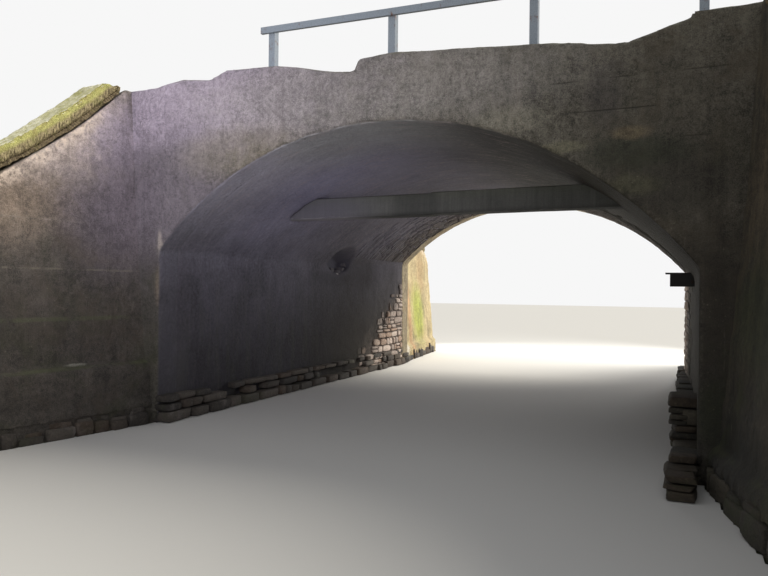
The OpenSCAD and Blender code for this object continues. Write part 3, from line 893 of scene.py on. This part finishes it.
def draw_in(points):
    """Sets the face of a far wall back towards the join, so that it runs into the near one with no step."""
    on_face = np.abs(np.abs(points[:, 0]) - HALF_FAR) < 0.003
    points[on_face, 0] = np.sign(points[on_face, 0]) * half_at(points[on_face, 1])


def make_lining():
    """The lining of the whole barrel: damp over the near part, lumpy mortar behind the far part's rubble."""
    into_near, over_join, into_far = 0.13, 0.03, 0.06
    near_ends = (shifted(1, NEAR_INNER, -into_near), shifted(1, JOIN_Y, over_join))
    far_ends = (shifted(1, JOIN_Y, -over_join), shifted(1, FAR_INNER, into_far))
    parts = {"near_vault": (lower_springings(HALF_NEAR), *near_ends),
             "far_vault": (lower_springings(HALF_FAR), *far_ends)}
    for side in ("left", "right"):
        parts[f"near_{side}_abutment"] = near_ends
        parts[f"far_{side}_abutment"] = (draw_in, *far_ends)

    def barrel_traits(points, normals):
        lumps = ramp(points[:, 1], JOIN_Y + 0.4, JOIN_Y + 2.0) * ramp(rough(points, 0.15, 2, 71), -0.4, 0.5)
        behind = ramp(np.abs(points[:, 0]), BACK_X - 0.06, BACK_X - 0.03)
        sunk = ramp(points[:, 1], NEAR_INNER - 0.045, NEAR_INNER - 0.09)
        return {"around": round_the_opening(points), "behind": behind, "kept": sunk,
                "recess": 0.012 * lumps + 0.03 * behind + 0.02 * sunk}

    weathered("barrel_lining", parts, LINING, LINING_VOXEL, wear=0.012, traits=barrel_traits,
              slot="barrel_lining")


# Stones


class Heap:
    """Gathers many stones into one mesh, each through the trim and by the relief that are given."""

    def __init__(self, seed, trim=None, relief=None):
        self.random = np.random.default_rng(seed)
        self.trim = trim
        self.relief = relief
        self.points = []
        self.faces = []
        self.traits = {"tone": [], "second_tone": [], "rim": []}
        self.count = 0

    def add(self, points, faces, rims, flip=False):
        faces = [tuple(self.count + i for i in (reversed(face) if flip else face)) for face in faces]
        self.faces.extend(faces)
        self.points.append(points)
        self.traits["rim"].append(rims)
        for trait in ("tone", "second_tone"):
            self.traits[trait].append(np.full(len(points), self.random.random()))
        self.count += len(points)

    def build(self, name, material, slot, *stands_for):
        mesh = bpy.data.meshes.new(name)
        lowest, highest = (np.array(corner) for corner in cad_box)
        points = np.clip(np.concatenate(self.points), lowest, highest)
        mesh.from_pydata(points.tolist(), [], self.faces)
        traits = {trait: np.concatenate(values) for trait, values in self.traits.items()}
        finished_piece(name, mesh, traits, material, slot, *stands_for)


# A stone's head: the sides of its outline, and the height, inset and mortar tone of each ring up to the top,
# the mortar tone being also painted shade in the joints
SIDES = 14
RING_DROP = (-0.015, 0.45, 0.86, 1.0)
RING_INSET = (0.0, 0.003, 0.013, 0.034)
RING_RIM = (1.0, 0.75, 0.15, 0.0)


def pillow_faces():
    """Faces of a stone's head: rings of quads, a fan on top and a flat bottom."""
    faces = [tuple(reversed(range(SIDES)))]
    rings = len(RING_DROP)
    for ring in range(rings - 1):
        for i in range(SIDES):
            j = (i + 1) % SIDES
            low, high = ring * SIDES, (ring + 1) * SIDES
            faces.append((low + i, low + j, high + j, high + i))
    top = rings * SIDES
    for i in range(SIDES):
        faces.append((top - SIDES + i, top - SIDES + (i + 1) % SIDES, top))
    return faces


# A stone with less than this to each side of its middle is left out
LEAST_HALF = 0.012
PILLOW_FACES = pillow_faces()
PILLOW_RIM = np.append(np.repeat(RING_RIM, SIDES), 0.0)


def lay_stone(heap, surface, cell, proud, gap):
    """Lays the head of one stone into a cell (along0, along1, across0, across1) of a surface."""
    uniform = heap.random.uniform
    along0, along1, across0, across1 = cell
    half = np.array([along1 - along0, across1 - across0]) / 2 - gap * uniform(0.6, 1.6, 2)
    centre = np.array([along0 + along1, across0 + across1]) / 2
    relief = heap.relief(centre, uniform(0.8, 1.3)) if heap.relief else 1
    if half.min() < LEAST_HALF or relief == 0:
        return
    turn = 2 * math.pi * (np.arange(SIDES) + uniform(-0.25, 0.25, SIDES)) / SIDES
    square = uniform(0.35, 0.8)
    outline = np.stack([np.cos(turn), np.sin(turn)], 1)
    outline = np.sign(outline) * np.abs(outline) ** square
    outline *= uniform(0.9, 1.03, SIDES)[:, None]
    outline[:, 0] += uniform(-0.12, 0.12) * outline[:, 1]
    outline[:, 1] += uniform(-0.14, 0.14) * outline[:, 0]
    outline = np.clip(outline, -1.04, 1.04)
    height = proud * uniform(0.45, 1.25) * relief
    tilt = uniform(-0.3, 0.3, 2) * height
    rings = []
    for drop, inset in zip(RING_DROP, RING_INSET):
        scale = np.maximum(half - inset * uniform(0.8, 1.5), half * 0.35)
        up = np.full(SIDES, drop if drop < 0 else drop * height)
        if drop > 0.5:
            up += outline @ tilt + uniform(-0.09, 0.09, SIDES) * height
        rings.append(np.column_stack([centre + outline * scale, up]))
    top = np.array([[*(centre + half * uniform(-0.2, 0.2, 2)), height * uniform(1.0, 1.15)]])
    placed = surface(np.concatenate(rings + [top]))
    if heap.trim:
        placed = heap.trim(placed)
    if placed is not None:
        heap.add(placed, PILLOW_FACES, PILLOW_RIM, left_handed(surface, centre))


def left_handed(surface, centre):
    """True where a surface's own axes are left-handed, so that faces need turning round."""
    at = np.array([*centre, 0.0])
    p = surface(at + 0.01 * np.eye(4, 3, -1))
    return np.linalg.det(p[1:] - p[0]) < 0


def courses(heap, length, height, thick, long):
    """Cells of rubble brought to rough courses, as (along0, along1, across0, across1)."""
    random = heap.random
    cells = []
    level = 0.0
    while level < height - 0.02:
        course = min(random.uniform(*thick), height - level)
        if height - level - course < 0.6 * thick[0]:
            course = height - level
        start = 0.0
        while start < length - 0.01:
            run = random.uniform(*long) * random.choice([0.6, 1.0, 1.0, 1.3])
            if length - start - run < 0.5 * long[0]:
                run = length - start
            end = min(start + run, length)
            if random.random() < 0.2 and course > 1.25 * thick[0]:
                middle = level + course * random.uniform(0.4, 0.6)
                cells.append((start, end, level, middle))
                cells.append((start, end, middle, level + course))
            else:
                cells.append((start, end, level, level + course))
            start = end
        level += course
    return cells


def wall_surface(side):
    """A far wall of the opening: along the barrel from the join, up, and out into the opening."""
    def place(local):
        along, up, out = local.T
        up = up + 0.02 * np.sin(2.3 * along) * np.sin(3.1 * up)
        return np.column_stack([side * (half_at(JOIN_Y + along) - out), JOIN_Y + along, up])
    return place


def on_vault(local):
    """The underside of the far vault: along it from the join, round from the left springing, and inward."""
    along, around, out = local.T
    angle = arch_angle(HALF_FAR, -1) + around / ARCH_RADIUS
    radius = ARCH_RADIUS - out
    x, z = ARCH_X + radius * np.sin(angle), ARCH_Z + radius * np.cos(angle)
    return np.column_stack([x, JOIN_Y + along, z])


def back_surface(side):
    """The hidden back of an abutment: along the barrel, up, and away from the opening."""
    def place(local):
        along, up, out = local.T
        return np.column_stack([side * (BACK_X - 0.03 + out), NEAR_INNER + along, up])
    return place


# How far past the join the stones begin to show, at the foot of the left wall and elsewhere
WALL_START = 1.5
VAULT_START = 0.7
# Half the open joint between two stones, and how far stones stand out of walls, vault and backs
JOINT = 0.004
WALL_PROUD, VAULT_PROUD, BACK_PROUD = 0.02, 0.012, 0.028


def wall_relief(centre, chance):
    """How far the stones of the far left wall stand out of the lining, which reaches further in up high."""
    along = centre[0] - (centre[1] - LEAN_LEVEL) * LINING_RUN[0]
    return (0.2 + 0.8 * float(ramp(along, 1.3, 1.9))) * (along > WALL_START * chance)


def vault_relief(centre, chance):
    """How far the stones of the far vault and right wall stand out of the damp lining."""
    return (0.12 + 0.6 * float(ramp(centre[0], 0.9, 2.5))) * (centre[0] > VAULT_START * chance ** 3)


def lay_wall(name, side, seed, relief, thick, long):
    heap = Heap(seed, clear_of_hole, relief)
    for cell in courses(heap, FAR_INNER - JOIN_Y, springing(HALF_FAR, side), thick, long):
        lay_stone(heap, wall_surface(side), cell, WALL_PROUD, JOINT)
    heap.build(name, RUBBLE, "rubble")


def lay_vault(name, seed, thick, long):
    heap = Heap(seed, clear_of_hole, vault_relief)
    around = ARCH_RADIUS * (arch_angle(HALF_FAR, 1) - arch_angle(HALF_FAR, -1))
    for a0, a1, ring0, ring1 in courses(heap, around, FAR_INNER - JOIN_Y, thick, long):
        lay_stone(heap, on_vault, (ring0, ring1, a0, a1), VAULT_PROUD, JOINT)
    heap.build(name, VAULT_RUBBLE, "rubble")


# Middle and half size of the ragged hole in the left wall, along the barrel and up
HOLE_MIDDLE = np.array([0.69, 1.975])
HOLE_HALF = np.array([0.4, 0.215])
# Loose stones in it: from and to along the barrel and up, and how far they stand back
HOLE_STONES = ((0.5, 0.64, 1.76, 1.84, 0.05), (0.66, 0.82, 1.74, 1.81, 0.03),
               (0.84, 0.98, 1.77, 1.86, 0.04), (0.96, 1.08, 1.86, 1.94, 0.06))


def clear_of_hole(points):
    """Leaves out a stone over the hole, and pushes one that reaches over its edge back to the edge."""
    away = (points[:, 1:] - HOLE_MIDDLE) / HOLE_HALF
    if points[:, 0].mean() > 0 or np.hypot(*away.mean(axis=0)) > 2:
        return points
    if np.hypot(*away.mean(axis=0)) < 1.02:
        return None
    reach = np.maximum(np.hypot(away[:, 0], away[:, 1]), 0.05)
    away *= np.where(reach < 1, 1 / reach, 1)[:, None]
    points[:, 1:] = HOLE_MIDDLE + away * HOLE_HALF
    return points


def make_barrel():
    """Rubble heads over the far vault and walls, and loose stones in the foot of the hole."""
    lay_vault("far_vault_stones", 12, (0.055, 0.11), (0.11, 0.3))
    lay_wall("far_left_wall_stones", -1, 15, wall_relief, (0.06, 0.15), (0.1, 0.3))
    lay_wall("far_right_wall_stones", 1, 16, vault_relief, (0.08, 0.17), (0.13, 0.36))
    heap = Heap(17)
    for y0, y1, z0, z1, out in HOLE_STONES:
        lay_block(heap, (-half_at(y0) - 0.2, y0, z0), (-half_at(y1) - out, y1, z1), 4.5, 0.12, 0.22)
    heap.build("loose_hole_stones", RUBBLE, "rubble")


def finish_node(node, material):
    """Gives a CAD node that stays as it is its material."""
    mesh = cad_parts[node].data
    mesh.materials.clear()
    mesh.materials.append(material)


def make_backs():
    """Rough stone on the backs of the abutments."""
    for side, name, seed in ((-1, "left", 21), (1, "right", 22)):
        heap = Heap(seed)
        for cell in courses(heap, FAR_INNER - NEAR_INNER, WALL_TOP, (0.13, 0.24), (0.22, 0.6)):
            lay_stone(heap, back_surface(side), cell, BACK_PROUD, 2 * JOINT)
        heap.build(name + "_backing_stones", BACKING, "rubble")


# Footings


def cube_shell(ticks):
    """Points and faces of a cube from -1 to 1 with each face cut across at these ticks."""
    index = {}
    points = []
    faces = []

    def corner(p):
        key = tuple(round(c, 6) for c in p)
        if key not in index:
            index[key] = len(points)
            points.append(key)
        return index[key]

    for axis, sign in itertools.product(range(3), (-1, 1)):
        for i, j in itertools.product(range(len(ticks) - 1), repeat=2):
            ring = []
            for a, b in ((i, j), (i + 1, j), (i + 1, j + 1), (i, j + 1)):
                p = [0.0, 0.0, 0.0]
                p[axis] = sign
                p[(axis + 1) % 3] = ticks[a]
                p[(axis + 2) % 3] = ticks[b]
                ring.append(corner(p))
            faces.append(tuple(ring if sign > 0 else ring[::-1]))
    return np.array(points), faces


BLOCK_POINTS, BLOCK_FACES = cube_shell((-1, -0.85, 0, 0.85, 1))


def lay_block(heap, low, high, squareness=7.0, turn=0.05, rough_by=0.1, turned=None):
    """A loose rounded stone that fills a box from low to high, which may be turned about a place."""
    random = heap.random
    low, high = np.array(low), np.array(high)
    half = (high - low) / 2
    norm = np.sum(np.abs(BLOCK_POINTS) ** squareness, axis=1) ** (1 / squareness)
    shape = BLOCK_POINTS / norm[:, None]
    lumps = rough(BLOCK_POINTS + random.uniform(0, 90, 3), 0.9, 2, 7)
    shape = shape * (1 - rough_by * (0.5 + 0.5 * lumps[:, None]))
    slant = random.uniform(-0.13, 0.13, 3)
    shape[:, 0] += slant[0] * shape[:, 2]
    shape[:, 1] += slant[1] * shape[:, 0]
    shape = np.clip(shape, -1, 1) * half
    spin = np.array(Matrix.Rotation(random.uniform(-turn, turn), 3, "Z"))
    points = np.clip(shape @ spin.T, -half, half) + (low + high) / 2
    flip = False
    if turned:
        place, axes = turned
        points = place + points @ axes.T
        flip = np.linalg.det(axes) < 0
    # Darker towards the bottom of each stone, in the mortar colour: painted shade under it.
    rims = ramp(-shape[:, 2] / half[2], 0.5, 1.0) * 0.6
    heap.add(points, BLOCK_FACES, rims, flip)


def stack_stones(heap, side, face, span, depths, levels, missing=0.0, start_level=0.0, taper=0.0):
    """Stacks flat rough stones along a wall, in courses of these heights and depths, from the lowest up.

    Stones of the upper courses are missing at random, and each course is shorter than the last by the taper.
    """
    random = heap.random
    level = start_level
    for row, (course, depth) in enumerate(zip(levels, depths)):
        start = span[0]
        end = span[1] - taper * row
        while start < end - 0.01:
            run = random.uniform(0.12, 0.5)
            if end - start - run < 0.1:
                run = end - start
            x0, x1 = sorted((side * (face + FOOTING_HOLD), side * (face - depth * random.uniform(0.8, 1.0))))
            top = level + course * random.uniform(0.8, 1.1)
            if row == 0 or random.random() > missing:
                low, high = (x0, start + 0.003, level), (x1, start + run - 0.003, top)
                lay_block(heap, low, high, random.uniform(5, 10), 0.09, random.uniform(0.06, 0.2))
            start += run
        level += course


def stones_along_wing(heap, side, end):
    """Square foot stones along a wing, some with a smaller one on top."""
    random = heap.random
    foot, outward, frontward = wing_axes(side, end)
    turned = foot, np.column_stack([outward, frontward, (0, 0, 1)])
    length, hold = 2.55, 0.08
    start = 0.03
    while start < length:
        run = random.uniform(0.12, 0.45)
        height = random.uniform(0.07, 0.2)
        out = random.uniform(0.07, 0.106)
        squareness = random.uniform(3.5, 8.0)
        high = (start + run + 0.01, out, height)
        lay_block(heap, (start, -hold, -0.02), high, squareness, 0.12, random.uniform(0.1, 0.26), turned)
        if random.random() < 0.8:
            top = min(height + random.uniform(0.02, 0.07), 0.25)
            share = random.uniform(0.5, 1.0)
            high = (start + run * share, out * random.uniform(0.5, 0.85), top)
            lay_block(heap, (start, -hold, height - 0.05), high, 4.5, 0.12, 0.2, turned)
        start += run


# How far foot stones reach into the wall behind them
FOOTING_HOLD = 0.06
# Courses of the footings from the lowest up: how high they are, and how far they stand out
LEFT_LEVELS, LEFT_DEPTHS = (0.125, 0.1, 0.075), (0.18, 0.155, 0.125)
RIGHT_LEVELS = (0.07, 0.09, 0.065, 0.055, 0.06)
RIGHT_DEPTHS = (0.23, 0.24, 0.225, 0.235, 0.225)
# The right footing's toe, in front of the near face
TOE_LEVELS, TOE_DEPTHS = (0.075, 0.055, 0.06, 0.055), (0.185, 0.17, 0.18, 0.16)
# The right stack is low, but for a taller heap that starts this far in and falls off further in
LOW_COURSES = 3
UPPER_START = 0.6
UPPER_LENGTH = 1.7
UPPER_TAPER = 0.2
# Stones on top of the heap, a slab over a deep stone and small ones: how far out of the wall, along and up
HEAP_TOP = ((0.0, 0.115, 0.0, 0.3, 0.34, 0.49), (0.12, 0.225, 0.02, 0.16, 0.34, 0.385),
            (0.115, 0.215, 0.0, 0.18, 0.388, 0.435), (0.125, 0.225, 0.03, 0.15, 0.438, 0.49),
            (0.0, 0.2, 0.31, 0.6, 0.34, 0.48), (0.0, 0.235, 0.0, 0.42, 0.492, 0.59),
            (0.05, 0.16, 0.5, 0.62, 0.485, 0.54))


def make_footings():
    """Rough stones along the foot of each wall, in place of the plain courses."""
    near_span, far_span = (NEAR_Y + 0.004, JOIN_Y), (JOIN_Y, FAR_Y - 0.004)
    heap = Heap(31)
    stack_stones(heap, -1, HALF_NEAR, near_span, LEFT_DEPTHS, LEFT_LEVELS, 0.35)
    stack_stones(heap, -1, HALF_NEAR, far_span, LEFT_DEPTHS, LEFT_LEVELS, 0.35)
    heap.build("left_footing_stones", FOOTING, "footing_stone", "left_footing")
    heap = Heap(32)
    low_depths, low_levels = RIGHT_DEPTHS[:LOW_COURSES], RIGHT_LEVELS[:LOW_COURSES]
    stack_stones(heap, 1, HALF_NEAR, near_span, low_depths, low_levels)
    upper = NEAR_Y + UPPER_START
    stack_stones(heap, 1, HALF_NEAR, (upper, upper + UPPER_LENGTH), RIGHT_DEPTHS[LOW_COURSES:],
                 RIGHT_LEVELS[LOW_COURSES:], 0.0, sum(low_levels), UPPER_TAPER)
    for out0, out1, y0, y1, z0, z1 in HEAP_TOP:
        low, high = (HALF_NEAR - out1, upper + y0, z0), (HALF_NEAR + FOOTING_HOLD - out0, upper + y1, z1)
        lay_block(heap, low, high, 7.0, 0.03, 0.1)
    stack_stones(heap, 1, HALF_NEAR, far_span, low_depths, low_levels)
    low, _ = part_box("right_footing")
    stack_stones(heap, 1, HALF_NEAR - FOOTING_HOLD, (low.y + 0.004, NEAR_Y), TOE_DEPTHS, TOE_LEVELS, 0.1)
    heap.build("right_footing_stones", DARK_FOOTING, "footing_stone", "right_footing")
    for (side, end), seed in zip(WINGS, (33, 34, 35, 36)):
        heap = Heap(seed)
        stones_along_wing(heap, side, end)
        # The near right wing's foot takes the darker stone, painted shade of the right side.
        material = DARK_FOOTING if (side, end) == (1, -1) else FOOTING
        heap.build(wing_name(side, end) + "_foot_stones", material, "mossy_plinth")


# Copings


def mossy_coping(side, end, seed):
    """A wing's coping under thick moss, which hangs in ridges down its front to a ragged edge."""
    node = wing_name(side, end) + "_coping"
    mesh = voxel_copy({node: ()}, MOSS_VOXEL)
    points = read_points(mesh)
    normals = vertex_normals(mesh)
    low, high = points.min(axis=0), points.max(axis=0)
    front = ramp(normals @ wing_axes(side, end)[2], 0.1, 0.7)
    height = above_wing(points, side, end) / COPING_THICK
    depth = 0.012 + 0.018 * rough(points, 0.14, 3, seed) + 0.010 * rough(points, 0.05, 2, seed + 5)
    depth += front * 0.02 * (0.5 + rough(points * (1, 1, 0.16), 0.05, 2, seed + 7))
    depth += 0.018 * sharpness(mesh) * ramp(waves(points, 0.2, seed + 9), -0.3, 0.5)
    depth += 0.1 * front * ramp(height, 0.45, 0.0)
    moved = pushed_in(points, normals, depth)
    ragged = ramp(rough(points * (1, 1, 0), 0.11, 3, seed + 11), -0.2, 0.5) * ramp(height, 0.3, 0.0)
    moved[:, 2] += 0.045 * ragged * front
    write_points(mesh, np.clip(moved, low, high))
    finished_piece(node + "_moss", mesh, {"height": height}, MOSS, "mossy_coping", node)


def make_copings():
    for (side, end), seed in zip(WINGS, (41, 43, 45, 47)):
        mossy_coping(side, end, seed)


# Beam, stub, rails and road


def make_beam():
    mesh = voxel_copy({"cross_beam": ()}, BEAM_VOXEL)
    points = read_points(mesh)
    worn = sharpness(mesh)
    depth = 0.004 + 0.004 * rough(points * (0.12, 1, 1), 0.05, 3, 51)
    depth += 0.014 * worn * ramp(rough(points, 0.3, 3, 52), -0.3, 0.6)
    low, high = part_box("cross_beam")
    moved = pushed_in(points, vertex_normals(mesh), depth)
    write_points(mesh, np.clip(moved, np.array(low), np.array(high)))
    finished_piece("cross_beam_timber", mesh, {"worn": worn}, TIMBER, "beam", "cross_beam")


def make_iron():
    finish_node("beam_stub", STUB_IRON)
    for end in ("near", "far"):
        for number in range(1, 5):
            finish_node(f"{end}_post_{number}", RAIL_PAINT)
        finish_node(f"{end}_handrail", RAIL_PAINT)


# The road: its fall to the sides, the gravel's height over the fill, its thickness, the ruts and the grid
ROAD_FALL = 0.09
GRAVEL_LIFT = 0.024
GRAVEL_THICK = 0.05
RUT_DEPTH, RUT_PLACE, RUT_WIDTH = 0.012, 0.8, 0.25
ROAD_STEP = 0.05


def make_road():
    """A slab of trodden gravel over the CAD road bed, worn into two shallow ruts."""
    low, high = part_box("road_bed")
    x, y = (np.arange(low[axis] + 0.001, high[axis], ROAD_STEP) for axis in (0, 1))
    gx, gy = np.meshgrid(x, y, indexing="ij")
    top = np.column_stack([gx.ravel(), gy.ravel(), high.z - ROAD_FALL * (gx.ravel() / BACK_X) ** 2])
    ruts = RUT_DEPTH * np.exp(-((np.abs(top[:, 1]) - RUT_PLACE) / RUT_WIDTH) ** 2)
    top[:, 2] += GRAVEL_LIFT - ruts + 0.006 * rough(top, 0.5, 4, 61) + 0.003 * rough(top, 0.09, 2, 62)
    grid = np.arange(gx.size).reshape(gx.shape)
    quads = np.stack([grid[:-1, :-1], grid[1:, :-1], grid[1:, 1:], grid[:-1, 1:]], -1).reshape(-1, 4)
    ring = np.concatenate([grid[:-1, 0], grid[-1, :-1], grid[:0:-1, -1], grid[0, :0:-1]])
    lower = len(top) + np.arange(len(ring))
    sides = np.column_stack([ring, lower, np.roll(lower, -1), np.roll(ring, -1)])
    mesh = bpy.data.meshes.new("road_gravel")
    points = np.concatenate([top, top[ring] - (0, 0, GRAVEL_THICK)])
    mesh.from_pydata(points.tolist(), [], quads.tolist() + sides.tolist() + [lower[::-1].tolist()])
    finished_piece("road_gravel", mesh, {}, GRAVEL, "road_fill")
    finish_node("road_bed", EARTH)


# Floor, light and camera

# Strength of the pale background that the camera sees, and of the light from all round
BACKGROUND = 0.93
AMBIENT = 0.48
AMBIENT_TINT = (0.95, 0.97, 1.0, 1.0)
FLOOR_TINT = (214, 212, 208)
FLOOR_HALF = 60.0
# Just under the foot of the bridge, so that the two don't flicker
FLOOR_LEVEL = -0.001
# The soft high light: power, angle across it in radians, tint and place
KEY_POWER, KEY_ANGLE, KEY_TINT = 3.2, 0.6, (1.0, 0.95, 0.84)
KEY_PLACE = (6.0, 5.0, 7.2)
# Soft fills in front of the bridge: power, width, place and what each is aimed at
FILLS = (("left_fill", 2600, 0.62, (2.5, -11.5, 4.6), (-3.1, -3.6, 3.1)),
         ("vault_fill", 1700, 0.5, (2.9, -11.5, 0.8), (-1.5, -1.0, 2.8)))
FILL_TINT = (0.96, 0.94, 1.0)
FILL_RADIUS = 1.5
# Soft lamps behind the bridge that reach into the far end: power, place and what each is aimed at
GLOWS = ((260, (3.6, 8.6, 3.2), (-2.6, 2.4, 1.0)), (110, (-3.4, 8.4, 2.8), (2.6, 1.5, 0.9)))
GLOW_SIZE = 3.0


def make_floor():
    mesh = bpy.data.meshes.new("floor")
    signs = ((-1, -1), (1, -1), (1, 1), (-1, 1))
    mesh.from_pydata([(FLOOR_HALF * x, FLOOR_HALF * y, FLOOR_LEVEL) for x, y in signs], [], [(0, 1, 2, 3)])
    floor = bpy.data.objects.new("floor", mesh)
    bpy.context.scene.collection.objects.link(floor)
    finish = Finish("pale_floor")
    finish.shader.inputs["Base Color"].default_value = colour(*FLOOR_TINT)
    finish.shader.inputs["Roughness"].default_value = 0.9
    mesh.materials.append(finish.material)


def lamp(name, kind, place, target, **settings):
    """Makes a lamp in its place, aimed at a target."""
    light = bpy.data.lights.new(name, kind)
    for setting, value in settings.items():
        setattr(light, setting, value)
    holder = bpy.data.objects.new(name, light)
    holder.location = place
    holder.rotation_mode = "QUATERNION"
    holder.rotation_quaternion = (Vector(place) - Vector(target)).to_track_quat("Z", "Y")
    bpy.context.scene.collection.objects.link(holder)


def make_light():
    """Even pale surroundings, a soft high light from behind, fills in front and glows at the far end."""
    world = bpy.data.worlds.new("studio")
    bpy.context.scene.world = world
    world.use_nodes = True
    nodes, links = world.node_tree.nodes, world.node_tree.links
    light_path = nodes.new("ShaderNodeLightPath")
    seen = nodes.new("ShaderNodeBackground")
    seen.inputs["Color"].default_value = (1.0, 1.0, 1.0, 1.0)
    seen.inputs["Strength"].default_value = BACKGROUND
    ambient = nodes["Background"]
    ambient.inputs["Color"].default_value = AMBIENT_TINT
    ambient.inputs["Strength"].default_value = AMBIENT
    choose = nodes.new("ShaderNodeMixShader")
    links.new(light_path.outputs["Is Camera Ray"], choose.inputs[0])
    links.new(ambient.outputs[0], choose.inputs[1])
    links.new(seen.outputs[0], choose.inputs[2])
    links.new(choose.outputs[0], nodes["World Output"].inputs["Surface"])
    lamp("soft_key", "SUN", KEY_PLACE, (0, 0, 0), energy=KEY_POWER, angle=KEY_ANGLE, color=KEY_TINT)
    for name, power, width, place, target in FILLS:
        lamp(name, "SPOT", place, target, energy=power, spot_size=width, spot_blend=1.0,
             shadow_soft_size=FILL_RADIUS, color=FILL_TINT)
    for power, place, target in GLOWS:
        lamp("far_glow", "AREA", place, target, shape="DISK", size=GLOW_SIZE, energy=power)


def make_camera():
    level = math.cos(CAMERA_PITCH)
    ahead = Vector((-math.sin(CAMERA_YAW) * level, math.cos(CAMERA_YAW) * level, math.sin(CAMERA_PITCH)))
    level_right = Vector((math.cos(CAMERA_YAW), math.sin(CAMERA_YAW), 0))
    level_up = level_right.cross(ahead)
    right = level_right * math.cos(CAMERA_ROLL) + level_up * math.sin(CAMERA_ROLL)
    up = level_up * math.cos(CAMERA_ROLL) - level_right * math.sin(CAMERA_ROLL)
    data = bpy.data.cameras.new("camera")
    data.lens = CAMERA_LENS
    data.sensor_width = CAMERA_SENSOR
    data.clip_start, data.clip_end = CAMERA_CLIP
    camera = bpy.data.objects.new("camera", data)
    bpy.context.scene.collection.objects.link(camera)
    turned = Matrix((right, up, -ahead)).transposed().to_4x4()
    camera.matrix_world = Matrix.Translation(CAMERA_PLACE) @ turned
    bpy.context.scene.camera = camera


make_camera()
make_light()
make_floor()
bpy.context.scene.view_settings.view_transform = "Standard"
make_faces()
make_wings()
make_lining()
make_barrel()
make_backs()
make_footings()
make_copings()
make_beam()
make_iron()
make_road()
